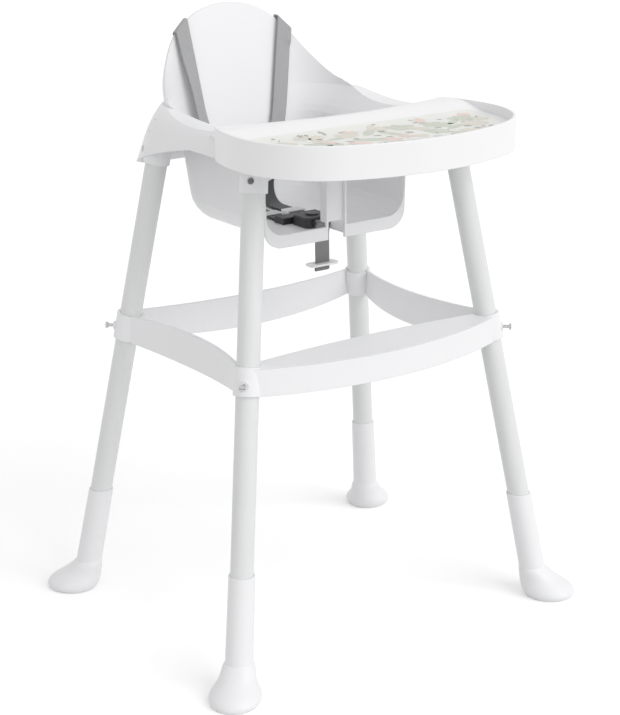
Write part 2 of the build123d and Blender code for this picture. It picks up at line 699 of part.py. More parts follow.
def make_tray():
    """Make the tray: a rimmed dish with a ledge, hooks that run under the deck's lip, and runners."""
    with BuildPart() as dish:
        with BuildSketch(Plane.XY.offset(tray_bottom)):
            add(tray_plan(tray_rim))
        extrude(amount=tray_height + wall)
        extrude(above_floor(0), amount=wide, both=True, mode=Mode.INTERSECT)
    with BuildPart() as under:
        with BuildSketch(Plane.XY.offset(tray_bottom)):
            add(tray_plan(tray_wall))
        extrude(amount=tray_height)
        extrude(above_floor(tray_wall), amount=wide, both=True, mode=Mode.SUBTRACT)
    with BuildPart() as hooks:
        with BuildSketch(Plane.XY.offset(deck_z - wall - slide_gap - hook_depth)):
            add(tray_plan(tray_wall / 2))
            Rectangle(2 * (deck_half + deck_lip - hook_reach), wide, mode=Mode.SUBTRACT)
            with Locations((0, mid_y - hook_back)):
                Rectangle(wide, hook_length, align=(Align.CENTER, Align.MAX), mode=Mode.INTERSECT)
        extrude(amount=hook_depth)
    with BuildPart() as tray:
        with BuildSketch(Plane.XY.offset(tray_bottom)):
            add(tray_plan(0))
        extrude(amount=tray_height)
        fillet(tray.edges().group_by(Axis.Z)[-1], tray_rim_round)
        add(dish.part, mode=Mode.SUBTRACT)
        add(under.part, mode=Mode.SUBTRACT)
        with BuildSketch(Plane.XY.offset(tray_bottom)):
            with Locations((0, seam_y)):
                Rectangle(2 * tray_cut_half, tray_rear_cut,
                          align=(Align.CENTER, Align.MAX))
        extrude(amount=deck_z + slide_gap - tray_bottom, mode=Mode.SUBTRACT)
        with BuildSketch(Plane.XY.offset(deck_z + slide_gap)):
            with GridLocations(2 * runner_x, 0, 2, 1):
                with Locations((0, mid_y - runner_back)):
                    Rectangle(runner_width, runner_length, align=(Align.CENTER, Align.MAX))
        extrude(amount=tray_floor - tray_wall / 2 - deck_z - slide_gap)
        add(hooks.part)
    return tray.part


def make_tray_print():
    """Make the printed sheet that lies on the tray's floor."""
    with BuildPart() as sheet:
        with BuildSketch(Plane.XY.offset(tray_floor)):
            add(tray_plan(print_inset))
            with Locations((0, mid_y - ledge_front - print_clear)):
                Rectangle(wide, wide, align=(Align.CENTER, Align.MAX), mode=Mode.INTERSECT)
            fillet(vertices().group_by(Axis.Y)[-1], print_corner)
        extrude(amount=print_thickness)
    return sheet.part


# --- screws -----------------------------------------------------------------------------------------
def make_brace_screws():
    """Make the four screws that hold the brace's collars to the legs."""
    head = collar_radius + collar_boss_height + brace_screw_stand
    with BuildPart() as screws:
        for side in SIDES.values():
            for end in ENDS.values():
                place = screw_plane(side, end, brace_screw_z)
                with BuildSketch(place.offset(tube_radius - screw_length)):
                    Circle(brace_screw_radius)
                extrude(amount=head - tube_radius + screw_length)
                with BuildSketch(place.offset(head)):
                    Circle(brace_screw_head)
                extrude(amount=brace_screw_cap)
                with BuildSketch(place.offset(head + brace_screw_cap / 2)):
                    Rectangle(screw_slot, 2 * brace_screw_head)
                extrude(amount=brace_screw_cap, mode=Mode.SUBTRACT)
    return screws.part


def make_brace_inserts():
    """Make the four threaded inserts in the tubes that the brace's screws bite into."""
    outer = sqrt(tube_radius**2 - insert_radius**2)
    flange = sqrt((tube_radius - tube_wall)**2 - insert_flange**2) - screw_fit
    with BuildPart() as inserts:
        for side in SIDES.values():
            for end in ENDS.values():
                place = screw_plane(side, end, brace_screw_z)
                with BuildSketch(place.offset(outer - insert_length)):
                    Circle(insert_radius)
                extrude(amount=insert_length)
                with BuildSketch(place.offset(flange - insert_flange_thickness)):
                    Circle(insert_flange)
                extrude(amount=insert_flange_thickness)
                with BuildSketch(place):
                    Circle(brace_screw_radius + screw_fit)
                extrude(amount=tube_radius, mode=Mode.SUBTRACT)
    return inserts.part


def make_socket_screws():
    """Make the four screws that hold the legs in the seat's sockets."""
    head = socket_radius - socket_screw_sink
    with BuildPart() as screws:
        for side in SIDES.values():
            for end in ENDS.values():
                place = screw_plane(side, end, socket_screw_z)
                with BuildSketch(place.offset(tube_radius - screw_length)):
                    Circle(socket_screw_radius)
                extrude(amount=head - tube_radius + screw_length)
                with BuildSketch(place.offset(head)):
                    Circle(socket_screw_head)
                extrude(amount=socket_screw_cap)
                with BuildSketch(place.offset(head + socket_screw_cap / 2)):
                    Rectangle(screw_slot, 2 * socket_screw_head)
                extrude(amount=socket_screw_cap, mode=Mode.SUBTRACT)
    return screws.part


# --- harness ----------------------------------------------------------------------------------------
def one_side(side, piece):
    """Return a piece made for the right-hand side, mirrored where the side is the left."""
    with BuildPart() as placed:
        if side > 0:
            add(piece)
        else:
            mirror(piece, about=Plane.YZ)
    return placed.part


def strap_x(z):
    """Return how far a shoulder strap's middle lies from the chair's middle at height z."""
    return strap_rim_x + strap_tilt * (z - strap_rim_z)


def make_shoulder_strap():
    """Make the right shoulder strap: over the rim, down the backrest and along the seat to its tongue."""
    face = back_y(arm_z) - wall - strap_gap - webbing / 2
    slant = webbing_width * sqrt(1 + strap_tilt**2)
    rim = strap_rim_z - arm_z + strap_rim_lift + webbing / 2
    low = strap_z - arm_z
    seat_tilt = (strap_x(arm_z) - strap_seat_x) / -low
    # the run over the rim leans with the rim's slope, so it is drawn out along that slope
    rim_slope = -strap_rim_x / sqrt(back_round**2 - strap_rim_x**2)
    along = Vector(1, back_lean * rim_slope, rim_slope).normalized()
    edge = Vector(strap_x(arm_z) - slant / 2, 0, arm_z)
    inner_rim = rim - rim_slope * slant / 2
    outer_low = rim_slope * slant
    rear = back_y(arm_z) + strap_rim_gap + webbing / 2
    with BuildPart() as strap:
        lean = sqrt(1 + seat_tilt**2)
        with BuildSketch(Plane(edge, x_dir=(0, 1, 0), z_dir=(1, 0, -seat_tilt))) as lower:
            with BuildLine() as path:
                FilletPolyline((face, 0), (face + back_lean * low, low * lean),
                               (buckle_y + buckle_width / 2 + blade_fit + slot_play, low * lean),
                               radius=strap_bend)
            trace(path.edges(), webbing)
        extrude(lower.sketch, amount=slant, dir=(1, 0, 0))
        lean = sqrt(1 + strap_tilt**2)
        upright = Plane(edge, x_dir=(0, 1, 0), z_dir=(1, 0, -strap_tilt))
        with BuildSketch(upright) as middle:
            with BuildLine() as path:
                Line((face, 0), (face + back_lean * (inner_rim + outer_low), (inner_rim + outer_low) * lean))
            trace(path.edges(), webbing)
        extrude(middle.sketch, amount=slant, dir=(1, 0, 0))
        start, tail = inner_rim + 2 * outer_low, inner_rim - strap_tail
        with BuildSketch(upright) as upper:
            with BuildLine() as path:
                FilletPolyline((face + back_lean * start, start * lean),
                               (face + back_lean * inner_rim, inner_rim * lean),
                               (rear + back_lean * inner_rim, inner_rim * lean),
                               (rear + back_lean * tail, tail * lean), radius=strap_rim_bend)
            trace(path.edges(), webbing)
            with BuildLine() as hem:
                Line((rear + back_lean * tail, tail * lean),
                     (rear + back_lean * (tail + hem_length), (tail + hem_length) * lean))
            trace(hem.edges(), hem_thickness)
        extrude(upper.sketch, amount=slant / along.X / (1 - rim_slope * strap_tilt), dir=along)
    return strap.part


def make_crotch_strap():
    """Make the crotch strap: round the buckle's lug, down through the notch to its stopper."""
    loop = lug_radius + strap_bar_gap + webbing / 2
    low = seat_floor - crotch_drop - stopper_thickness - hem_length
    with BuildPart() as strap:
        with BuildSketch(Plane.YZ) as profile:
            with Locations((crotch_y, lug_z)):
                Circle(loop + webbing / 2)
            with BuildLine() as path:
                Line((crotch_y, lug_z), (crotch_y, low))
            trace(path.edges(), webbing)
            with Locations((crotch_y, lug_z - loop)):
                Rectangle(hem_thickness, hem_length, align=(Align.CENTER, Align.MAX))
            with Locations((crotch_y, low)):
                Rectangle(2 * hem_thickness, hem_length - slide_gap, align=(Align.CENTER, Align.MIN))
            with Locations((crotch_y, lug_z)):
                Circle(loop - webbing / 2, mode=Mode.SUBTRACT)
        extrude(profile.sketch, amount=webbing_width / 2, both=True)
    return strap.part


def make_adjuster():
    """Make the slide adjuster round the right shoulder strap, where it runs along the seat."""
    inner = webbing_width / 2 + adjuster_fit
    depth = webbing / 2 + adjuster_fit
    middle = mid_y + adjuster_back
    with BuildPart() as adjuster:
        with BuildSketch(Plane.XZ.offset(-middle)) as ring:
            with Locations((strap_seat_x, strap_z)):
                RectangleRounded(2 * (inner + adjuster_side), 2 * (depth + adjuster_skin), adjuster_skin)
                Rectangle(2 * inner, 2 * depth, mode=Mode.SUBTRACT)
        extrude(ring.sketch, amount=adjuster_length / 2, both=True)
        with BuildSketch(Plane.XY.offset(strap_z)) as windows:
            with Locations((strap_seat_x, middle)):
                with GridLocations(0, (adjuster_length - adjuster_bar) / 2, 1, 2):
                    Rectangle(2 * inner, (adjuster_length - 3 * adjuster_bar) / 2)
        extrude(windows.sketch, amount=2 * (depth + adjuster_skin), both=True, mode=Mode.SUBTRACT)
    return adjuster.part


def make_stopper(top):
    """Make the stopper plate round the crotch strap, with its upper face at height top."""
    with BuildPart() as stopper:
        with BuildSketch(Plane.XY.offset(top)):
            with Locations((0, crotch_y)):
                RectangleRounded(stopper_length, stopper_width, stopper_corner)
                SlotOverall(webbing_width + 2 * slot_play, webbing + 2 * adjuster_fit, mode=Mode.SUBTRACT)
        extrude(amount=-stopper_thickness)
    return stopper.part


def make_buckle_body():
    """Make the buckle: a rounded block with a well for its button, tongue channels and a front lug."""
    with BuildPart() as body:
        with BuildSketch(Plane.XY.offset(buckle_z)):
            with Locations((0, buckle_y)):
                RectangleRounded(buckle_length, buckle_width, buckle_corner)
        extrude(amount=buckle_height)
        fillet(body.edges().group_by(Axis.Z)[-1], buckle_round)
        with BuildSketch(Plane.XY.offset(buckle_z + buckle_height)):
            with Locations((0, buckle_y)):
                Circle(button_radius + button_fit)
        extrude(amount=-button_depth, mode=Mode.SUBTRACT)
        with BuildSketch(Plane.XY.offset(tongue_z - blade_thickness / 2 - blade_fit)):
            with Locations((0, buckle_y + buckle_width / 2)):
                with GridLocations(2 * blade_x, 0, 2, 1):
                    Rectangle(2 * (blade_half + blade_fit), 2 * (blade_length + blade_fit))
        extrude(amount=blade_thickness + 2 * blade_fit, mode=Mode.SUBTRACT)
        # the bar that the crotch strap is folded round, between two ears
        ear = webbing_width / 2 + slot_play + lug_radius
        with BuildSketch(Plane.YZ) as bar:
            with Locations((crotch_y, lug_z)):
                Circle(lug_radius)
        extrude(bar.sketch, amount=ear, both=True)
        with BuildSketch(Plane.XY.offset(lug_z - lug_radius)):
            with Locations((0, crotch_y - lug_radius)):
                with GridLocations(2 * ear - lug_radius, 0, 2, 1):
                    Rectangle(lug_radius, buckle_y - buckle_width / 2 + buckle_corner - crotch_y + lug_radius,
                              align=(Align.CENTER, Align.MIN))
        extrude(amount=2 * lug_radius)
    return body.part


def make_buckle_button():
    """Make the round release button, with a shallow dish in its top."""
    with BuildPart() as button:
        low = buckle_z + buckle_height - button_depth + button_travel + slide_gap
        with BuildSketch(Plane.XY.offset(low)):
            with Locations((0, buckle_y)):
                Circle(button_radius)
        extrude(amount=buckle_z + buckle_height + button_stand - low)
        fillet(button.edges().group_by(Axis.Z)[-1], button_round)
    return button.part


def make_tongue():
    """Make the right tongue: a blade in the buckle, and a housing that its strap runs into."""
    half = webbing_width / 2 + slot_play + tongue_side
    front = buckle_y + buckle_width / 2 + blade_fit
    with BuildPart() as tongue:
        with BuildSketch(Plane.XY.offset(buckle_z)):
            with Locations((strap_seat_x, front)):
                Rectangle(2 * half, tongue_length, align=(Align.CENTER, Align.MIN))
        extrude(amount=tongue_height)
        fillet(tongue.edges().group_by(Axis.Z)[-1], tongue_round)
        with BuildSketch(Plane.XY.offset(tongue_z - blade_thickness / 2)):
            with Locations((blade_x, front)):
                Rectangle(2 * blade_half, 2 * (blade_length + blade_fit))
        extrude(amount=blade_thickness)
        with BuildSketch(Plane.XZ.offset(slide_gap - front)) as slot:
            with Locations((strap_seat_x, strap_z)):
                Rectangle(2 * (half - tongue_side), webbing + 2 * adjuster_fit)
        extrude(slot.sketch, amount=-tongue_length - 2 * slide_gap, mode=Mode.SUBTRACT)
    return tongue.part


# --- write every piece ------------------------------------------------------------------------------
pieces = {
    "seat_shell": make_seat_shell(),
    "tray": make_tray(),
    "tray_print": make_tray_print(),
    "leg_brace": make_leg_brace(),
    "brace_screws": make_brace_screws(),
    "brace_inserts": make_brace_inserts(),
    "socket_screws": make_socket_screws(),
    "crotch_strap": make_crotch_strap(),
    "crotch_stopper": make_stopper(seat_floor - crotch_drop),
    "buckle_body": make_buckle_body(),
    "buckle_button": make_buckle_button(),
}
shoulder_strap, shoulder_adjuster, tongue = make_shoulder_strap(), make_adjuster(), make_tongue()
for name, side in SIDES.items():
    for end_name, end in ENDS.items():
        pieces[f"leg_{end_name}_{name}"] = make_leg(side, end)
        pieces[f"foot_{end_name}_{name}"] = make_foot(side, end)
    pieces[f"shoulder_strap_{name}"] = one_side(side, shoulder_strap)
    pieces[f"shoulder_adjuster_{name}"] = one_side(side, shoulder_adjuster)
    pieces[f"buckle_tongue_{name}"] = one_side(side, tongue)

for name, piece in pieces.items():
    piece.label = name
    export_step(piece, f"parts/{name}.step")
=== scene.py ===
"""Looks of the baby high chair: finishes, harness webbing, printed tray film and studio.

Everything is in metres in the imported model's own frame: +Z up, the seat faces -Y, and the
origin is on the floor in the middle of the footprint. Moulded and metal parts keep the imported
meshes and get finishes; the webbing is built here as woven ribbons with hems and stitches.
"""

import logging
import math
import random
from dataclasses import dataclass, field
from enum import Enum

import bpy
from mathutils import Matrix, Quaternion, Vector
from mathutils.bvhtree import BVHTree
from mathutils.geometry import convex_hull_2d


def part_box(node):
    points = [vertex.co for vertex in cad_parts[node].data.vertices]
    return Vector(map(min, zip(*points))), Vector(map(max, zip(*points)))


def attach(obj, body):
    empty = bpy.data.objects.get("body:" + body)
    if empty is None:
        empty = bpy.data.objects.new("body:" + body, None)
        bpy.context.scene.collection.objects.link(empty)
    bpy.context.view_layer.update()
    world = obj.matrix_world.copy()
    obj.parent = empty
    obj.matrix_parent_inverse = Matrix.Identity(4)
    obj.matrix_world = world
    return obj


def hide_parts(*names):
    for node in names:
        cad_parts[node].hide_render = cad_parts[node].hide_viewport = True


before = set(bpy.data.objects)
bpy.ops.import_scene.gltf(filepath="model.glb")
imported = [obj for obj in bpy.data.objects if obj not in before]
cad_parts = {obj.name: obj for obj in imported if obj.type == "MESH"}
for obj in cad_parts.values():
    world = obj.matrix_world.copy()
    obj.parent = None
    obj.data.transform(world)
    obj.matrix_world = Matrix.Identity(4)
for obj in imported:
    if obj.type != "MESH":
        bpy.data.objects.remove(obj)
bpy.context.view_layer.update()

log = logging.getLogger("high_chair")

Colour = tuple[float, float, float]
Socket = bpy.types.NodeSocket
Value = Socket | Colour | float

MM = 0.001
WHITE: Colour = (1.0, 1.0, 1.0)
CLOUD_FOOT, CLOUD_FOOT_FROM = 0.25, -0.55  # how deep a cloud's flat foot is, and where it starts
PEBBLE_TURN, PEBBLE_DENT = 0.7, 0.06


class Side(Enum):
    """The chair's two sides, seen from the front."""

    LEFT = -1
    RIGHT = 1

    @property
    def tag(self) -> str:
        """Return the word that node and body names use for this side."""
        return self.name.lower()


# ----------------------------- node graphs


class Graph:
    """A node graph, with short ways to add the nodes that the finishes use."""

    BEVEL_SAMPLES = 4

    def __init__(self, tree: bpy.types.NodeTree) -> None:
        """Empty a node tree, to build a new graph in it."""
        self.tree = tree
        self.tree.nodes.clear()

    def feed(self, target: Socket, value: Value) -> None:
        """Give a node's input its value.

        Args:
            target: The input.
            value: A socket to link to it, or a number or a colour.
        """
        if isinstance(value, Socket):
            self.tree.links.new(value, target)
        else:
            target.default_value = (*value, 1.0) if target.type == "RGBA" else value

    def node(self, kind: str, inputs: dict[int | str, Value] | None = None,
             **settings: object) -> bpy.types.Node:
        """Add a node.

        Args:
            kind: The node's type name.
            inputs: The values of its inputs, by number or name.
            **settings: Attributes to set on it.

        Returns:
            The new node.
        """
        made = self.tree.nodes.new(kind)
        for key, value in settings.items():
            setattr(made, key, value)
        for key, value in (inputs or {}).items():
            self.feed(made.inputs[key], value)
        return made

    def place(self, stretch: tuple[float, float, float] = (1.0, 1.0, 1.0)) -> Socket:
        """Return the object's own coordinates, stretched along each axis."""
        inputs = {"Vector": self.node("ShaderNodeTexCoord").outputs["Object"], "Scale": stretch}
        return self.node("ShaderNodeMapping", inputs).outputs["Vector"]

    def noise(self, where: Socket, scale: float, detail: float = 2.0) -> Socket:
        """Return noise between 0 and 1, with scale lumps in a metre and detail finer layers."""
        inputs = {"Vector": where, "Scale": scale, "Detail": detail}
        return self.node("ShaderNodeTexNoise", inputs).outputs["Fac"]

    def span(self, value: Socket, low: float, high: float, start: float = 0.3,
             end: float = 0.7) -> Socket:
        """Return a value mapped from start and end onto low and high."""
        inputs = {"Value": value, "From Min": start, "From Max": end, "To Min": low, "To Max": high}
        return self.node("ShaderNodeMapRange", inputs).outputs["Result"]

    def math(self, operation: str, first: Socket, second: Socket | float = 0.0) -> Socket:
        """Return the result of one sum, such as MULTIPLY."""
        return self.node("ShaderNodeMath", {0: first, 1: second}, operation=operation).outputs[0]

    def blend(self, amount: Socket, first: Socket | Colour, second: Socket | Colour) -> Socket:
        """Return a colour between two others.

        Args:
            amount: 0 gives the first colour and 1 the second.
            first: The first colour.
            second: The second colour.

        Returns:
            The colour's socket.
        """
        made = self.node("ShaderNodeMix", {"Factor": amount}, data_type="RGBA")
        ends = [socket for socket in made.inputs if socket.type == "RGBA"]
        for end, colour in zip(ends, (first, second)):
            self.feed(end, colour)
        return next(socket for socket in made.outputs if socket.type == "RGBA")

    def bump(self, height: Socket, depth: float, strength: float = 1.0,
             below: Socket | None = None) -> Socket:
        """Return a surface direction that a height disturbs.

        Args:
            height: The height, between 0 and 1.
            depth: The relief's depth in metres.
            strength: How much of it shows.
            below: The direction that this relief lies on, if there is one.

        Returns:
            The direction's socket.
        """
        inputs = {"Height": height, "Distance": depth, "Strength": strength}
        if below is not None:
            inputs["Normal"] = below
        return self.node("ShaderNodeBump", inputs).outputs["Normal"]

    def rounding(self, radius: float) -> Socket:
        """Return a surface direction that rounds off the piece's sharp edges."""
        made = self.node("ShaderNodeBevel", {"Radius": radius}, samples=self.BEVEL_SAMPLES)
        return made.outputs["Normal"]


class Surface(Graph):
    """A material's node graph, around one surface shader."""

    def __init__(self, name: str) -> None:
        """Make a material.

        Args:
            name: The material's name.
        """
        self.material = bpy.data.materials.new(name)
        self.material.use_nodes = True
        super().__init__(self.material.node_tree)
        self.shader = self.node("ShaderNodeBsdfPrincipled")
        self.node("ShaderNodeOutputMaterial", {"Surface": self.shader.outputs["BSDF"]})

    def set(self, name: str, value: Value) -> None:
        """Give the shader one of its values: a socket, a number or a colour."""
        self.feed(self.shader.inputs[name], value)

    def tint(self, amount: Socket, colour: Colour, least: float) -> None:
        """Give the surface a colour, with only the least share of it where the amount is low."""
        amount = self.span(amount, 0.0, 1.0)
        self.set("Base Color", self.blend(amount, shade(colour, least), colour))


# -------------------------------- finishes


def shade(colour: Colour, amount: float) -> Colour:
    """Return a colour made darker by an amount below 1, or lighter by one above it."""
    return tuple(min(1.0, part * amount) for part in colour)


@dataclass(frozen=True)
class MouldedPlastic:
    """Injection-moulded plastic: a fine satin grain, faint flow clouds and rubbed patches."""

    name: str
    colour: Colour
    roughness: float = 0.38
    cloud: float = 0.985
    grain: float = 1800.0
    grain_depth: float = 0.02 * MM
    grain_share: float = 0.5
    sink: float = 14.0
    sink_depth: float = 0.35 * MM
    sink_share: float = 0.35
    flow: float = 9.0
    flow_stretch: float = 0.35
    rub: float = 34.0
    rub_swing: float = 0.05
    edge: float = 1.0 * MM

    def material(self) -> bpy.types.Material:
        """Return the finish as a material."""
        graph = Surface(self.name)
        where = graph.place()
        flow = graph.noise(graph.place((1.0, 1.0, self.flow_stretch)), self.flow, 3.0)
        rubbed = graph.noise(where, self.rub, 4.0)
        graph.tint(flow, self.colour, self.cloud)
        graph.set("Roughness", graph.span(rubbed, self.roughness + self.rub_swing,
                                          self.roughness - self.rub_swing))
        sink = graph.bump(graph.noise(where, self.sink, 1.0), self.sink_depth, self.sink_share,
                          graph.rounding(self.edge))
        grain = graph.noise(where, self.grain, 1.0)
        graph.set("Normal", graph.bump(grain, self.grain_depth, self.grain_share, sink))
        return graph.material


@dataclass(frozen=True)
class PaintedTube:
    """Powder-coated steel: a fine orange-peel skin with faint darker streaks along the tube, painted
    shade that stands in for the bands of light and shade down a lit tube.
    """

    name: str
    colour: Colour
    roughness: float = 0.34
    worn: float = 0.07
    gloss: float = 0.04
    streak: float = 0.965
    streak_stretch: tuple[float, float, float] = (60.0, 60.0, 2.5)
    rub: float = 55.0
    rub_stretch: float = 0.3
    peel: float = 620.0
    peel_depth: float = 0.05 * MM
    peel_share: float = 0.3

    def material(self) -> bpy.types.Material:
        """Return the finish as a material."""
        graph = Surface(self.name)
        # painted shade: darker streaks along the tube stand in for the bands of reflected light and
        # shade that run down a lit tube
        painted_streaks = graph.noise(graph.place(self.streak_stretch), 1.0, 3.0)
        graph.tint(painted_streaks, self.colour, self.streak)
        rubbed = graph.noise(graph.place((1.0, 1.0, self.rub_stretch)), self.rub, 4.0)
        graph.set("Roughness", graph.span(rubbed, self.roughness + self.worn,
                                          self.roughness - self.gloss))
        peel = graph.noise(graph.place(), self.peel, 1.0)
        graph.set("Normal", graph.bump(peel, self.peel_depth, self.peel_share))
        return graph.material


@dataclass(frozen=True)
class Metal:
    """Plated or turned metal with fine tool marks."""

    name: str
    colour: Colour
    roughness: float = 0.32
    dull: float = 0.12
    bright: float = 0.06
    stain: float = 420.0
    stain_shade: float = 0.8
    marks: float = 900.0
    marks_stretch: float = 9.0
    marks_depth: float = 0.02 * MM
    marks_share: float = 0.6

    def material(self) -> bpy.types.Material:
        """Return the finish as a material."""
        graph = Surface(self.name)
        stain = graph.noise(graph.place(), self.stain, 3.0)
        graph.tint(stain, self.colour, self.stain_shade)
        graph.set("Roughness", graph.span(stain, self.roughness + self.dull,
                                          self.roughness - self.bright))
        marks = graph.noise(graph.place((1.0, 1.0, self.marks_stretch)), self.marks)
        graph.set("Normal", graph.bump(marks, self.marks_depth, self.marks_share))
        graph.set("Metallic", 1.0)
        return graph.material


@dataclass(frozen=True)
class Webbing:
    """Woven webbing: rows of slanting yarns in columns, with a plain selvedge at each edge; painted
    shade darkens the weave's grooves and the selvedges, and a painted highlight lightens the raised
    yarns.

    The weave runs on the ribbon's own map, whose u is 0 to 1 across it and whose v is the
    length along it in metres.
    """

    name: str
    colour: Colour
    columns: int = 8
    pick: float = 1.5 * MM
    slant: float = 1.0
    relief: float = 0.22 * MM
    relief_share: float = 0.8
    selvedge: float = 0.06
    selvedge_start: float = 0.6
    groove: float = 0.45
    yarn_share: float = 0.55
    fibre: float = 2600.0
    fibre_depth: float = 0.05 * MM
    fibre_share: float = 0.5
    tones: tuple[float, float] = (0.12, 0.8)
    # how far the weave's painted shade darkens the colour and its painted highlight lightens it,
    # together with the fibres' own tone
    dark: float = 0.62
    light: float = 1.28
    matt: tuple[float, float] = (0.9, 0.72)
    matt_tones: tuple[float, float] = (0.1, 0.8)
    sheen: float = 0.25
    sheen_roughness: float = 0.5
    # a darker colour below a height; on the shoulder straps it is painted shade inside the seat
    # under the tray
    low_colour: Colour | None = None
    low_dark: float = 0.6
    low_light: float = 1.3
    low_from: float = 0.0
    low_to: float = 0.0

    def material(self) -> bpy.types.Material:
        """Return the finish as a material."""
        graph = Surface(self.name)
        where = graph.node("ShaderNodeUVMap", uv_map=Ribbon.MAP)
        split = graph.node("ShaderNodeSeparateXYZ", {"Vector": where.outputs["UV"]})
        across, along = split.outputs["X"], split.outputs["Y"]
        zigzag = graph.math("PINGPONG", graph.math("MULTIPLY", across, self.columns), 1.0)
        turns = graph.math("MULTIPLY", along, 1.0 / self.pick)
        phase = graph.math("ADD", turns, graph.math("MULTIPLY", zigzag, self.slant))
        yarn = graph.math("SINE", graph.math("MULTIPLY", phase, 2.0 * math.pi))
        lifted = graph.span(yarn, 0.0, 1.0, -1.0, 1.0)
        valley = graph.math("PINGPONG", graph.math("MULTIPLY", across, self.columns), 0.5)
        ridge = graph.math("POWER", graph.math("MULTIPLY", valley, 2.0), 0.5)
        weave = graph.math("MULTIPLY", lifted, graph.span(ridge, self.groove, 1.0, 0.0, 1.0))
        edge = graph.math("PINGPONG", across, 0.5)
        inner = graph.span(edge, 0.0, 1.0, self.selvedge * self.selvedge_start, self.selvedge)
        body = graph.math("MULTIPLY", weave, inner)
        fibre = graph.noise(graph.place(), self.fibre)
        tone_and_shade = graph.math("ADD", graph.math("MULTIPLY", body, self.yarn_share),
                          graph.math("MULTIPLY", fibre, 1.0 - self.yarn_share))
        # painted shade and highlight: the weave's grooves and flat selvedges come out darker and the
        # raised yarns lighter, mixed with the fibres' own random tone
        colour = graph.blend(graph.span(tone_and_shade, 0.0, 1.0, *self.tones), shade(self.colour, self.dark),
                             shade(self.colour, self.light))
        if self.low_colour is not None:
            colour = self.darkened_below(graph, colour, tone_and_shade)
        graph.set("Base Color", colour)
        graph.set("Roughness", graph.span(tone_and_shade, *self.matt, *self.matt_tones))
        fine = graph.bump(fibre, self.fibre_depth, self.fibre_share)
        graph.set("Normal", graph.bump(body, self.relief, self.relief_share, fine))
        graph.set("Sheen Weight", self.sheen)
        graph.set("Sheen Roughness", self.sheen_roughness)
        return graph.material

    def darkened_below(self, graph: Surface, colour: Socket, tone_and_shade: Socket) -> Socket:
        """Return the yarn's colour, darker below a height: on the shoulder straps this is painted
        shade for their run down inside the seat under the tray.

        Args:
            graph: The material's graph.
            colour: The colour of the upper part.
            tone_and_shade: The weave's painted light and shade, mixed with the fibres' own random
                tone.

        Returns:
            The colour's socket.
        """
        split = graph.node("ShaderNodeSeparateXYZ", {"Vector": graph.place()})
        dark = graph.blend(graph.span(tone_and_shade, 0.0, 1.0, *self.tones),
                           shade(self.low_colour, self.low_dark),
                           shade(self.low_colour, self.low_light))
        depth = graph.span(split.outputs["Z"], 1.0, 0.0, self.low_to, self.low_from)
        return graph.blend(depth, colour, dark)


@dataclass(frozen=True)
class Thread:
    """Twisted sewing thread."""

    name: str
    colour: Colour
    twist: float = 3000.0
    groove_shade: float = 0.7
    roughness: float = 0.8

    def material(self) -> bpy.types.Material:
        """Return the finish as a material."""
        graph = Surface(self.name)
        twist = graph.noise(graph.place((1.0, 1.0, 2.0)), self.twist)
        graph.tint(twist, self.colour, self.groove_shade)
        graph.set("Roughness", self.roughness)
        return graph.material


@dataclass(frozen=True)
class PrintedInk:
    """Ink on film: a flat tint with the soft mottle of a print."""

    name: str
    colour: Colour
    mottle: float = 0.9
    wash: float = 60.0
    speckle: float = 240.0
    gloss: tuple[float, float] = (0.34, 0.46)

    def material(self) -> bpy.types.Material:
        """Return the finish as a material."""
        graph = Surface(self.name)
        where = graph.place()
        wash = graph.noise(where, self.wash, 4.0)
        graph.tint(wash, self.colour, self.mottle)
        graph.set("Roughness", graph.span(graph.noise(where, self.speckle), *self.gloss))
        return graph.material


SHELL = MouldedPlastic("seat plastic", (0.86, 0.86, 0.872))
TRAY = MouldedPlastic("tray plastic", (0.89, 0.89, 0.9), roughness=0.34)
BRACE = MouldedPlastic("footrest plastic", (0.87, 0.87, 0.882), roughness=0.4)
BOOT = MouldedPlastic("boot plastic", (0.85, 0.85, 0.862), roughness=0.44)
SLIDER = MouldedPlastic("slider plastic", (0.86, 0.86, 0.86), roughness=0.36)
BUCKLE = MouldedPlastic("buckle plastic", (0.045, 0.046, 0.05), roughness=0.42, cloud=0.8,
                        grain=1400.0, grain_depth=0.05 * MM)
BUTTON = MouldedPlastic("button plastic", (0.07, 0.07, 0.076), roughness=0.36, cloud=0.85,
                        grain=1400.0, grain_depth=0.04 * MM)
TUBE = PaintedTube("tube paint", (0.76, 0.772, 0.765))
STEEL = Metal("zinc plate", (0.6, 0.6, 0.61))
# painted shade: the socket screws are coloured near black to stand in for the shade in the recesses
# they sit in
RECESS_SHADE_STEEL = Metal("screw with painted recess shade", (0.16, 0.16, 0.165), 0.42)
BRASS = Metal("turned brass", (0.72, 0.56, 0.28), 0.28)
# painted shade: the shoulder webbing turns near black below the arms, standing in for the shade
# inside the seat under the tray
SHOULDER_WEB = Webbing("shoulder webbing", (0.42, 0.42, 0.426), low_colour=(0.06, 0.062, 0.066),
                       low_from=0.69, low_to=0.64)
CROTCH_WEB = Webbing("crotch webbing", (0.27, 0.27, 0.275), low_colour=(0.2, 0.2, 0.204),
                     low_from=0.56, low_to=0.53)
THREAD = Thread("sewing thread", (0.42, 0.42, 0.43))
FILM = PrintedInk("film ground", (0.83, 0.835, 0.8), 0.96)


def dress(piece: bpy.types.Object, material: bpy.types.Material) -> None:
    """Give a piece one material.

    Args:
        piece: The piece.
        material: The material.
    """
    if piece.data.materials:
        for slot in range(len(piece.data.materials)):
            piece.data.materials[slot] = material
    else:
        piece.data.materials.append(material)


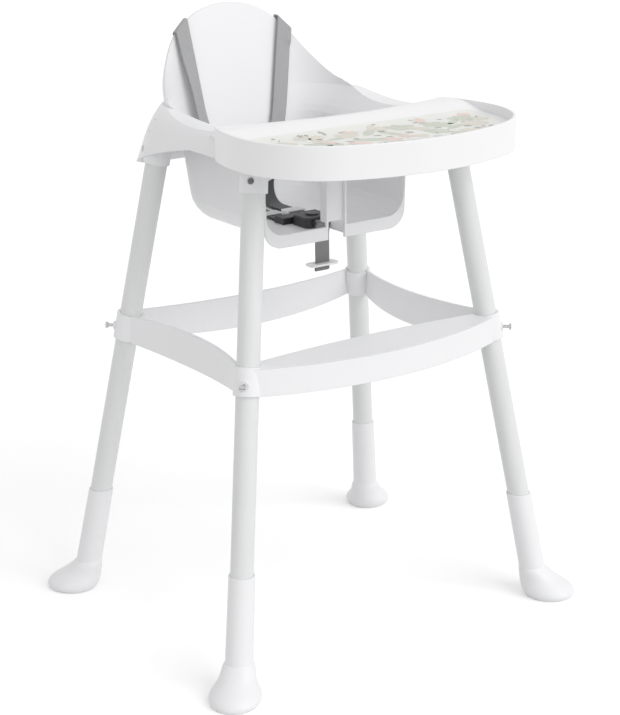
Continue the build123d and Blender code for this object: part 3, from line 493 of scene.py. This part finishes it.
def solid(name: str, points: list[Vector], faces: list[list[int]],
          smooth: bool = True) -> bpy.types.Object:
    """Return a new mesh piece.

    Args:
        name: The piece's name.
        points: Its points.
        faces: Its faces, as lists of point numbers.
        smooth: Whether its shading is smooth.

    Returns:
        The piece, linked to the scene.
    """
    mesh = bpy.data.meshes.new(name)
    mesh.from_pydata([tuple(point) for point in points], [], faces)
    mesh.validate()
    mesh.polygons.foreach_set("use_smooth", [smooth] * len(mesh.polygons))
    piece = bpy.data.objects.new(name, mesh)
    bpy.context.scene.collection.objects.link(piece)
    return piece


# --------------------------- moulded parts


@dataclass
class NodeGroup:
    """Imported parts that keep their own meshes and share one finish."""

    title: str
    nodes: tuple[str, ...]
    finish: MouldedPlastic | PaintedTube | Metal | PrintedInk

    def dress(self) -> None:
        """Give every part of the group its finish."""
        material = self.finish.material()
        for name in self.nodes:
            dress(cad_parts[name], material)
        log.info("%s: %s", self.title, ", ".join(self.nodes))


def both(stem: str) -> tuple[str, ...]:
    """Return a node's name for each side."""
    return tuple(f"{stem}_{side.tag}" for side in Side)


# --------------------------------- webbing


@dataclass
class Ribbon:
    """A woven ribbon swept along a path, with a lens-shaped section and rounded selvedges."""

    MAP = "weave"

    name: str
    thickness: float
    ribs: int = 12
    edge_round: float = 0.09
    edge_share: float = 0.18

    def section(self) -> list[tuple[float, float]]:
        """Return the section as (share across from 0 to 1, height) pairs, once round it."""
        top: list[tuple[float, float]] = []
        for step in range(self.ribs + 1):
            share = step / self.ribs
            full = min(1.0, 2.0 * min(share, 1.0 - share) / self.edge_round) ** 0.5
            top.append((share, self.thickness / 2 * max(full, self.edge_share)))
        return top + [(share, -height) for share, height in reversed(top)]

    def sweep(self, rails: list[tuple[Vector, Vector, Vector]]) -> bpy.types.Object:
        """Return the ribbon along its rails.

        Args:
            rails: For each station, the points at the two edges and the direction of its
                thickness.

        Returns:
            The ribbon's piece, with its weave map.
        """
        section = self.section()
        count = len(section)
        points: list[Vector] = []
        lengths: list[float] = []
        run = 0.0
        for index, (left, right, normal) in enumerate(rails):
            if index:
                before = rails[index - 1]
                run += ((left + right) / 2 - (before[0] + before[1]) / 2).length
            lengths.append(run)
            for share, height in section:
                points.append(left.lerp(right, share) + normal * height)
        faces: list[list[int]] = []
        maps: list[list[tuple[float, float]]] = []
        for row in range(len(rails) - 1):
            for column in range(count):
                after = (column + 1) % count
                faces.append([row * count + column, row * count + after,
                              (row + 1) * count + after, (row + 1) * count + column])
                near, far = section[column][0], section[after][0]
                maps.append([(near, lengths[row]), (far, lengths[row]),
                             (far, lengths[row + 1]), (near, lengths[row + 1])])
        for row, order in ((0, -1), (len(rails) - 1, 1)):
            ring = [row * count + column for column in range(count)][::order]
            faces.append(ring)
            maps.append([(section[number % count][0], lengths[row]) for number in ring])
        piece = solid(self.name, points, faces)
        layer = piece.data.uv_layers.new(name=self.MAP)
        for loop, pair in zip(layer.data, (pair for face in maps for pair in face)):
            loop.uv = pair
        return piece


def rounded(corners: list[Vector], radius: float, steps: int = 10) -> list[Vector]:
    """Return a path with its corners rounded.

    Args:
        corners: The path's corners.
        radius: The radius of each round.
        steps: How many runs make a round.

    Returns:
        The path's points.
    """
    path = [corners[0]]
    for before, corner, after in zip(corners, corners[1:], corners[2:]):
        into, out = (before - corner).normalized(), (after - corner).normalized()
        half = into.angle(out) / 2
        reach = radius / math.tan(half)
        centre = corner + (into + out).normalized() * (radius / math.sin(half))
        first, last = corner + into * reach - centre, corner + out * reach - centre
        turn = first.angle(last)
        for step in range(steps + 1):
            share = step / steps
            path.append(centre + (first * math.sin((1 - share) * turn)
                                  + last * math.sin(share * turn)) / math.sin(turn))
    return path + [corners[-1]]


def refined(path: list[Vector], longest: float) -> list[Vector]:
    """Return a path whose runs are no longer than a limit.

    Args:
        path: The path's points.
        longest: The longest run.

    Returns:
        The points, with more between them where a run was longer.
    """
    made = [path[0]]
    for before, after in zip(path, path[1:]):
        parts = max(1, math.ceil((after - before).length / longest))
        made += [before.lerp(after, part / parts) for part in range(1, parts + 1)]
    return made


@dataclass
class Stitching:
    """Rows of sewn stitches: short threads that dip into the webbing at both ends."""

    name: str
    length: float = 2.6 * MM
    gap: float = 0.9 * MM
    radius: float = 0.28 * MM
    arch: float = 1.5
    sink: float = 0.6
    taper: float = 0.55
    rings: int = 6
    around: int = 6
    points: list[Vector] = field(default_factory=list)
    faces: list[list[int]] = field(default_factory=list)

    def row(self, start: Vector, end: Vector, normal: Vector) -> None:
        """Add a row of stitches.

        Args:
            start: Where the row starts, on the webbing.
            end: Where the row ends.
            normal: The direction out of the webbing.
        """
        run = end - start
        count = max(1, int((run.length + self.gap) / (self.length + self.gap)))
        ahead = run.normalized()
        side = ahead.cross(normal).normalized()
        for number in range(count):
            origin = start + ahead * (number * (self.length + self.gap))
            first = len(self.points)
            for ring in range(self.rings + 1):
                share = ring / self.rings
                rise = math.sin(math.pi * share)
                centre = (origin + ahead * (self.length * share)
                          + normal * (self.radius * (self.arch * rise - self.sink)))
                thick = self.radius * (self.taper + (1.0 - self.taper) * rise)
                for step in range(self.around):
                    angle = 2 * math.pi * step / self.around
                    self.points.append(centre + side * (thick * math.cos(angle))
                                       + normal * (thick * math.sin(angle)))
            for low in range(first, first + self.rings * self.around, self.around):
                for step in range(self.around):
                    after, high = (step + 1) % self.around, low + self.around
                    self.faces.append([low + step, low + after, high + after, high + step])

    def finish(self, thread: bpy.types.Material) -> None:
        """Turn the stitches into a piece that moves with the chair.

        Args:
            thread: The thread's material.
        """
        piece = solid(self.name, self.points, self.faces)
        dress(piece, thread)
        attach(piece, "chair")


@dataclass(frozen=True)
class Hang:
    """How one shoulder strap hangs: its places at the rim and the arms, and its turn."""

    rim_x: float
    arm_x: float
    turn: float


@dataclass
class Harness:
    """The shoulder straps and the crotch strap, with their hems and stitches."""

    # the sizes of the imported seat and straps
    width: float = 25.0 * MM
    thickness: float = 1.6 * MM
    back_lean: float = 0.19
    rim_radius: float = 135.0 * MM
    back_top: float = 876.5 * MM
    arm_z: float = 749.0 * MM
    back_reach: float = 183.5 * MM
    wall: float = 3.2 * MM
    stand_off: float = 4.7 * MM
    rim_gap: float = 1.2 * MM
    rim_lift: float = 1.3 * MM
    rim_bend: float = 2.4 * MM
    rim_wrap: float = 0.12
    seat_x: float = 20.0 * MM
    seat_bend: float = 46.0 * MM
    # how the straps hang, heights from the arms' tops and shares of the rim's height over them
    knee: float = -50.0 * MM
    knee_ease: float = 35.0 * MM
    tail: float = 42.0 * MM
    turn_starts: tuple[float, float] = (-130.0 * MM, -70.0 * MM)
    turn_ends_from: float = -10.0 * MM
    turn_ends_at: float = 0.95
    rim_skew: tuple[float, float] = (0.55, 0.8)
    # hems, folds and seams
    seam_inset: float = 0.12
    seam_places: tuple[int, ...] = (-2, -4, 2, 4)
    hem: float = 9.0 * MM
    hem_rows: tuple[float, float] = (0.3, 0.85)
    hem_end: float = 1.6
    neck: float = 1.5
    fold: float = 0.55
    run_step: float = 3.0 * MM
    lug_loop: float = 3.1 * MM
    loop_span: tuple[float, float] = (-60.0, 240.0)
    loop_steps: int = 24
    bend_steps: tuple[int, int] = (24, 8)
    hangs: dict[Side, Hang] = field(default_factory=lambda: {
        Side.LEFT: Hang(85.0 * MM, 76.0 * MM, 27.0),
        Side.RIGHT: Hang(95.0 * MM, 76.0 * MM, 2.0),
    })

    def build(self) -> None:
        """Build and dress all the webbing."""
        middle_y = (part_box("leg_front_left")[0].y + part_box("leg_rear_left")[1].y) / 2
        web = SHOULDER_WEB.material()
        thread = THREAD.material()
        for side in Side:
            self.shoulder(side, middle_y, web, thread)
        self.crotch(CROTCH_WEB.material(), thread)

    def shoulder(self, side: Side, middle_y: float, web: bpy.types.Material,
                 thread: bpy.types.Material) -> None:
        """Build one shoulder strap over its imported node.

        Args:
            side: Which side's strap.
            middle_y: The middle of the legs, from front to rear.
            web: The webbing's material.
            thread: The thread's material.
        """
        node = f"shoulder_strap_{side.tag}"
        low_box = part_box(node)[0]
        seat_z = low_box.z + self.thickness / 2
        hang = self.hangs[side]
        drop = math.sqrt(self.rim_radius**2 - hang.rim_x**2)
        rim_z = self.back_top - self.rim_radius + drop
        slope = -hang.rim_x / drop
        tilt = (hang.rim_x - hang.arm_x) / (rim_z - self.arm_z)
        slant = self.width * math.sqrt(1 + tilt**2)
        edge_x = hang.arm_x - slant / 2
        face_y = middle_y + self.back_reach - self.wall - self.stand_off - self.thickness / 2
        rear_y = middle_y + self.back_reach + self.rim_gap + self.thickness / 2
        rim = rim_z - self.arm_z + self.rim_lift + self.thickness / 2 - slope * slant / 2
        low = seat_z - self.arm_z
        seat_tilt = (hang.arm_x + tilt * self.knee - self.seat_x) / (self.knee - low)

        def at(y: float, height: float, eased: bool = False) -> Vector:
            """Return the point of the inner edge at a height, with its knee sharp or eased.

            Args:
                y: Its place from front to rear.
                height: Its height over the arms' tops.
                eased: Whether the knee is eased.

            Returns:
                The point.
            """
            over = height - self.knee
            above = max(over, 0.0)
            if eased and abs(over) < self.knee_ease:
                above = (over + self.knee_ease) ** 2 / (4.0 * self.knee_ease)
            run = tilt * self.knee + seat_tilt * over + (tilt - seat_tilt) * above
            return Vector((edge_x + run, y, self.arm_z + height))

        corners = [Vector((at(0.0, low).x, low_box.y, seat_z)),
                   at(face_y + self.back_lean * low, low),
                   at(face_y + self.back_lean * self.knee, self.knee),
                   at(face_y + self.back_lean * rim, rim), at(rear_y + self.back_lean * rim, rim),
                   at(rear_y + self.back_lean * (rim - self.tail), rim - self.tail)]
        lower = rounded(corners[:3], self.seat_bend, self.bend_steps[0])[:-1]
        upper = rounded(corners[2:], self.rim_bend, self.bend_steps[1])
        path = [at(point.y, point.z - self.arm_z, eased=True)
                if abs(point.z - self.arm_z - self.knee) < self.knee_ease else point
                for point in refined(lower + upper, self.run_step)]
        skew = Vector((1.0, self.back_lean * slope - self.rim_wrap, slope))
        skew *= slant / (1 - slope * tilt)
        level = Vector((slant, 0.0, 0.0))
        rails: list[tuple[Vector, Vector, Vector]] = []
        behind = False
        skew_from, skew_to = (rim * share for share in self.rim_skew)
        for index, point in enumerate(path):
            height = point.z - self.arm_z
            behind = behind or point.y > face_y + self.back_lean * rim + self.rim_bend
            share, turn = 1.0, 0.0
            if not behind:
                share = min(1.0, max(0.0, (height - skew_from) / (skew_to - skew_from)))
                turn = math.radians(hang.turn) * self.eased(height, *self.turn_starts) * (
                    1.0 - self.eased(height, self.turn_ends_from, rim * self.turn_ends_at))
            across = Quaternion((0.0, 0.0, 1.0), -turn) @ level.lerp(skew, share)
            normal = across.normalized().cross(self.ahead(path, index)).normalized()
            rails.append((point, point + across, normal))
        flip = Vector((side.value, 1.0, 1.0))
        rails = [(left * flip, right * flip, normal * flip) for left, right, normal in rails]
        ribbon = Ribbon(f"shoulder_webbing_{side.tag}", self.thickness).sweep(rails)
        if side is Side.LEFT:
            ribbon.data.flip_normals()
        dress(ribbon, web)
        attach(ribbon, "chair")
        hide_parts(node)
        sewn = Stitching(f"shoulder_stitches_{side.tag}")
        inset = self.seam_inset
        for left, right, normal in (rails[place] for place in self.seam_places):
            out = normal * (self.thickness / 2)
            sewn.row(left.lerp(right, inset) + out, left.lerp(right, 1.0 - inset) + out, normal)
        sewn.finish(thread)
        log.info("webbing: %s", ribbon.name)

    @staticmethod
    def ahead(path: list[Vector], index: int) -> Vector:
        """Return the direction in which a path runs at one of its points."""
        return (path[min(index + 1, len(path) - 1)] - path[max(index - 1, 0)]).normalized()

    @staticmethod
    def eased(value: float, start: float, end: float) -> float:
        """Return a smooth step from 0 at start to 1 at end."""
        share = min(1.0, max(0.0, (value - start) / (end - start)))
        return share * share * (3.0 - 2.0 * share)

    def crotch(self, web: bpy.types.Material, thread: bpy.types.Material) -> None:
        """Build the crotch strap, with its hem over the stopper.

        Args:
            web: The webbing's material.
            thread: The thread's material.
        """
        low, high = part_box("crotch_strap")
        middle = (low.y + high.y) / 2
        lug_z = high.z - self.lug_loop - self.thickness / 2
        ply = self.thickness * self.fold

        def at(y: float, z: float) -> Vector:
            """Return a point in the strap's middle plane."""
            return Vector((0.0, middle + y, z))

        first, last = self.loop_span
        angles = [math.radians(first + (last - first) * step / self.loop_steps)
                  for step in range(self.loop_steps + 1)]
        ring = [at(self.lug_loop * math.cos(angle), lug_z + self.lug_loop * math.sin(angle))
                for angle in angles]
        neck = lug_z - self.neck * self.lug_loop
        foot = low.z + self.thickness / 2
        path = refined([at(ply, neck - self.hem), at(ply, neck), *ring, at(-ply, neck),
                        at(-ply, neck - self.hem), at(0.0, neck - self.hem_end * self.hem),
                        at(-ply, foot + self.hem), at(-ply, foot + ply), at(0.0, foot),
                        at(ply, foot + ply), at(ply, foot + self.hem)], self.run_step)
        side = Vector((1.0, 0.0, 0.0))
        half = side * (self.width / 2)
        rails = [(point + half, point - half, -side.cross(self.ahead(path, index)))
                 for index, point in enumerate(path)]
        ribbon = Ribbon("crotch_webbing", self.thickness).sweep(rails)
        dress(ribbon, web)
        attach(ribbon, "chair")
        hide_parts("crotch_strap")
        sewn = Stitching("crotch_stitches")
        front = Vector((0.0, -1.0, 0.0))
        row = side * (self.width * (1.0 - 2.0 * self.seam_inset))
        for edge, way in ((neck, -1.0), (foot, 1.0)):
            for share in self.hem_rows:
                start = at(-ply - self.thickness / 2, edge + way * share * self.hem) - row / 2
                sewn.row(start, start + row, front)
        sewn.finish(thread)
        log.info("webbing: %s", ribbon.name)


# ------------------------------ tray print


class Motif(Enum):
    """The print's outlines, each with its base size and the depth and number of its lobes."""

    LEAF = (0.36, 0.13, 0.0)
    CLOUD = (0.66, 0.22, 2.5)
    FLOWER = (0.68, 0.3, 6.0)
    PEBBLE = (0.78, 0.14, 2.0)
    STAR = (0.62, 0.3, 5.0)

    def radius(self, angle: float) -> float:
        """Return how far the outline lies from the motif's middle.

        Args:
            angle: The direction in radians.

        Returns:
            The distance, as a share of the motif's size.
        """
        base, depth, lobes = self.value
        if self is Motif.LEAF:
            return base / math.sqrt(math.sin(angle) ** 2 + depth * math.cos(angle) ** 2)
        if self is Motif.CLOUD:
            foot = CLOUD_FOOT if math.sin(angle) < CLOUD_FOOT_FROM else 0.0
            return base + depth * abs(math.cos(lobes * angle)) - foot
        if self is Motif.PEBBLE:
            return (base + depth * math.sin(lobes * angle + PEBBLE_TURN)
                    + PEBBLE_DENT * math.sin(3.0 * angle))
        return base + depth * math.cos(lobes * angle) ** (3 if self is Motif.STAR else 1)


@dataclass(frozen=True)
class Ink:
    """One ink of the tray's print, with the number and sizes of the motifs it draws."""

    title: str
    colour: Colour
    motifs: tuple[Motif, ...]
    count: int
    smallest: float
    largest: float


@dataclass
class TrayPrint:
    """A loose scatter of leaves, clouds, flowers, pebbles and stars in soft inks on the film.

    The film lies flat on the tray's floor, and its apron runs up the foot of the ledge.
    """

    inks: tuple[Ink, ...] = (
        Ink("sage ink", (0.62, 0.655, 0.555), (Motif.LEAF, Motif.CLOUD), 15, 16.0 * MM, 30.0 * MM),
        Ink("sand ink", (0.75, 0.71, 0.62), (Motif.PEBBLE, Motif.CLOUD), 12, 13.0 * MM, 24.0 * MM),
        Ink("peach ink", (0.83, 0.68, 0.61), (Motif.FLOWER, Motif.PEBBLE), 11, 11.0 * MM, 22.0 * MM),
        Ink("stone ink", (0.47, 0.46, 0.42), (Motif.STAR, Motif.LEAF), 26, 3.5 * MM, 8.0 * MM),
        Ink("moss ink", (0.45, 0.49, 0.39), (Motif.LEAF, Motif.FLOWER), 22, 3.0 * MM, 7.0 * MM),
    )
    # the scatter
    seed: int = 11
    margin: float = 3.0 * MM
    closeness: float = 0.62
    lift: float = 0.06 * MM
    facets: int = 48
    rings: int = 5
    tries: int = 4000
    # the apron
    climb: float = 27.0 * MM
    corner: float = 12.0 * MM
    draw_in: float = 3.0 * MM
    apron_rows: int = 30
    apron_columns: int = 60
    skin: float = 0.03 * MM
    sheet: float = 0.5 * MM
    reach_down: float = 60.0 * MM
    # found when the print is built
    surface: BVHTree | None = None
    top: float = 0.0

    def height(self, x: float, y: float) -> float:
        """Return the film's height over a point of the tray.

        Args:
            x: The point's place across the tray.
            y: The point's place along it.

        Returns:
            The height of the film's upper face.
        """
        above = Vector((x, y, self.top + self.reach_down))
        hit = self.surface.ray_cast(above, Vector((0.0, 0.0, -1.0)))[0]
        return self.top if hit is None else max(self.top, hit.z + self.sheet)

    def apron(self, half: float, start: float) -> None:
        """Carry the film up the foot of the ledge.

        Args:
            half: Half the film's width there.
            start: Where the apron starts, on the flat film.
        """
        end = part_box("tray_print")[1].y + self.climb
        points: list[Vector] = []
        for row in range(self.apron_rows + 1):
            y = start + (end - start) * row / self.apron_rows
            past = max(0.0, y - (end - self.corner))
            width = half - self.draw_in * row / self.apron_rows - (
                self.corner - math.sqrt(max(0.0, self.corner**2 - past**2)))
            for column in range(self.apron_columns + 1):
                x = width * (2.0 * column / self.apron_columns - 1.0)
                points.append(Vector((x, y, self.height(x, y) + self.skin)))
        row_length = self.apron_columns + 1
        faces = [[row * row_length + column, row * row_length + column + 1,
                  (row + 1) * row_length + column + 1, (row + 1) * row_length + column]
                 for row in range(self.apron_rows) for column in range(self.apron_columns)]
        piece = solid("film_apron", points, faces)
        dress(piece, FILM.material())
        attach(piece, "tray")

    def build(self) -> None:
        """Print every ink onto the film."""
        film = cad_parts["tray_print"]
        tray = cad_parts["tray"]
        self.surface = BVHTree.FromPolygons(
            [tray.matrix_world @ point.co for point in tray.data.vertices],
            [tuple(face.vertices) for face in tray.data.polygons])
        low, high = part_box("tray_print")
        self.top = high.z
        corners = [(film.matrix_world @ point.co).to_2d() for point in film.data.vertices]
        start = high.y - self.corner
        half = max(corner.x for corner in corners if corner.y > start)
        self.apron(half, start)
        high.y += self.climb
        corners += [Vector((side.value * (half - self.draw_in), high.y)) for side in Side]
        outline = [corners[index] for index in convex_hull_2d(corners)]
        chance = random.Random(self.seed)
        placed: list[tuple[Vector, float]] = []
        for layer, ink in enumerate(self.inks, start=1):
            points: list[Vector] = []
            faces: list[list[int]] = []
            drawn = 0
            for _ in range(self.tries):
                if drawn == ink.count:
                    break
                size = chance.uniform(ink.smallest, ink.largest)
                spot = Vector((chance.uniform(low.x, high.x), chance.uniform(low.y, high.y)))
                if not self.inside(spot, size + self.margin, outline):
                    continue
                if any((spot - other).length < self.closeness * (size + reach)
                       for other, reach in placed):
                    continue
                placed.append((spot, size))
                self.draw(points, faces, chance.choice(ink.motifs), spot, size,
                          chance.uniform(0.0, 2 * math.pi), layer * self.lift)
                drawn += 1
            piece = solid(ink.title.replace(" ", "_"), points, faces, smooth=False)
            dress(piece, PrintedInk(ink.title, ink.colour).material())
            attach(piece, "tray")
            log.info("print: %s with %d motifs", ink.title, drawn)

    @staticmethod
    def inside(spot: Vector, reach: float, outline: list[Vector]) -> bool:
        """Return whether a disc lies inside a convex outline.

        Args:
            spot: The disc's middle.
            reach: Its radius.
            outline: The outline's corners, in order.

        Returns:
            True if it does.
        """
        middle = sum(outline, Vector((0.0, 0.0))) / len(outline)
        for start, end in zip(outline, outline[1:] + outline[:1]):
            run = end - start
            normal = Vector((-run.y, run.x)).normalized()
            if (middle - start).dot(normal) < 0.0:
                normal.negate()
            if run.length > 0.0 and (spot - start).dot(normal) < reach:
                return False
        return True

    def draw(self, points: list[Vector], faces: list[list[int]], motif: Motif, spot: Vector,
             size: float, turn: float, lift: float) -> None:
        """Add one motif as rings of faces that follow the film.

        Args:
            points: The ink's points so far.
            faces: The ink's faces so far.
            motif: The motif.
            spot: Its middle.
            size: Its half size.
            turn: How far it is turned.
            lift: How far the ink lies over the film.
        """
        first = len(points)
        points.append(Vector((spot.x, spot.y, self.height(spot.x, spot.y) + lift)))
        for ring in range(1, self.rings + 1):
            for step in range(self.facets):
                angle = 2 * math.pi * step / self.facets
                reach = size * min(1.0, motif.radius(angle)) * ring / self.rings
                x = spot.x + reach * math.cos(angle + turn)
                y = spot.y + reach * math.sin(angle + turn)
                points.append(Vector((x, y, self.height(x, y) + lift)))
        for step in range(self.facets):
            after = (step + 1) % self.facets
            faces.append([first, first + 1 + step, first + 1 + after])
            for ring in range(self.rings - 1):
                inner = first + 1 + ring * self.facets
                outer = inner + self.facets
                faces.append([inner + step, outer + step, outer + after, inner + after])


# ---------------------------------- studio


@dataclass
class Studio:
    """The camera, the lamps, the pale floor and the white surroundings."""

    azimuth: float = -35.512
    elevation: float = 17.998
    roll: float = -0.306
    distance: float = 2.632
    target: tuple[float, float, float] = (0.00354, 0.01662, 0.375)
    lens: float = 89.45
    sensor: float = 36.0
    near: float = 0.05
    far: float = 200.0
    ambient: float = 0.72
    key_strength: float = 1.2
    key_spread: float = 50.0
    key_from: tuple[float, float, float] = (0.24, -0.8, 0.55)
    floor_reach: float = 40.0
    floor_seen: Colour = (0.985, 0.985, 0.985)
    floor_lit: Colour = (0.8, 0.8, 0.8)
    floor_glow: float = 0.16
    floor_roughness: float = 0.9
    floor_shine: float = 0.1

    def camera(self) -> None:
        """Place the camera."""
        turn, tip = math.radians(self.azimuth), math.radians(self.elevation)
        flat = math.cos(tip)
        back = Vector((math.sin(turn) * flat, -math.cos(turn) * flat, math.sin(tip)))
        data = bpy.data.cameras.new("camera")
        data.lens = self.lens
        data.sensor_width = self.sensor
        data.clip_start, data.clip_end = self.near, self.far
        eye = bpy.data.objects.new("camera", data)
        eye.location = Vector(self.target) + back * self.distance
        aim = (-back).to_track_quat("-Z", "Y")
        eye.rotation_mode = "QUATERNION"
        eye.rotation_quaternion = aim @ Quaternion((0.0, 0.0, 1.0), math.radians(self.roll))
        bpy.context.scene.collection.objects.link(eye)
        bpy.context.scene.camera = eye

    def lamps(self) -> None:
        """Place the soft key lamp."""
        data = bpy.data.lights.new("key", "SUN")
        data.energy = self.key_strength
        data.angle = math.radians(self.key_spread)
        lamp = bpy.data.objects.new("key", data)
        lamp.rotation_mode = "QUATERNION"
        lamp.rotation_quaternion = Vector(self.key_from).to_track_quat("Z", "Y")
        bpy.context.scene.collection.objects.link(lamp)

    def surroundings(self) -> None:
        """Light the scene evenly, and show white behind it."""
        world = bpy.data.worlds.new("studio")
        bpy.context.scene.world = world
        world.use_nodes = True
        graph = Graph(world.node_tree)
        lit, seen = (graph.node("ShaderNodeBackground", {"Color": WHITE, "Strength": strength})
                     for strength in (self.ambient, 1.0))
        mix = graph.node("ShaderNodeMixShader", {0: self.seen(graph), 1: lit.outputs[0],
                                                 2: seen.outputs[0]})
        graph.node("ShaderNodeOutputWorld", {"Surface": mix.outputs[0]})

    @staticmethod
    def seen(graph: Graph) -> Socket:
        """Return 1 where a ray shows the surroundings: to the eye, in a gloss or through glass.

        Args:
            graph: The node graph.

        Returns:
            The value's socket.
        """
        path = graph.node("ShaderNodeLightPath")
        value = path.outputs["Is Camera Ray"]
        for name in ("Is Glossy Ray", "Is Transmission Ray"):
            value = graph.math("MAXIMUM", value, path.outputs[name])
        return value

    def floor(self) -> None:
        """Lay the floor."""
        reach = self.floor_reach
        corners = [Vector((x * reach, y * reach, 0.0))
                   for x, y in ((-1, -1), (1, -1), (1, 1), (-1, 1))]
        piece = solid("floor", corners, [[0, 1, 2, 3]], smooth=False)
        graph = Surface("floor")
        graph.set("Base Color", graph.blend(self.seen(graph), self.floor_lit, self.floor_seen))
        graph.set("Roughness", self.floor_roughness)
        graph.set("Specular IOR Level", self.floor_shine)
        graph.set("Emission Color", WHITE)
        graph.set("Emission Strength", graph.math("MULTIPLY", self.seen(graph), self.floor_glow))
        dress(piece, graph.material)

    def build(self) -> None:
        """Set up the whole studio."""
        self.camera()
        self.lamps()
        self.surroundings()
        self.floor()
        bpy.context.scene.view_settings.view_transform = "Standard"
        log.info("studio")


# ------------------------------------ main


def main() -> None:
    """Build every part of the scene in order."""
    logging.basicConfig(level=logging.INFO, format="%(name)s: %(message)s", force=True)
    Studio().build()
    for group in (
        NodeGroup("seat", ("seat_shell",), SHELL),
        NodeGroup("tray", ("tray",), TRAY),
        NodeGroup("print ground", ("tray_print",), FILM),
        NodeGroup("footrest", ("leg_brace",), BRACE),
        NodeGroup("boots", both("foot_front") + both("foot_rear"), BOOT),
        NodeGroup("tubes", both("leg_front") + both("leg_rear"), TUBE),
        NodeGroup("footrest screws", ("brace_screws",), STEEL),
        # the socket screws' dark colour is painted shade for their recesses
        NodeGroup("socket screws", ("socket_screws",), RECESS_SHADE_STEEL),
        NodeGroup("inserts", ("brace_inserts",), BRASS),
        NodeGroup("sliders", both("shoulder_adjuster") + ("crotch_stopper",), SLIDER),
        NodeGroup("buckle", ("buckle_body",) + both("buckle_tongue"), BUCKLE),
        NodeGroup("button", ("buckle_button",), BUTTON),
    ):
        group.dress()
    TrayPrint().build()
    Harness().build()


if __name__ == "__main__":
    main()
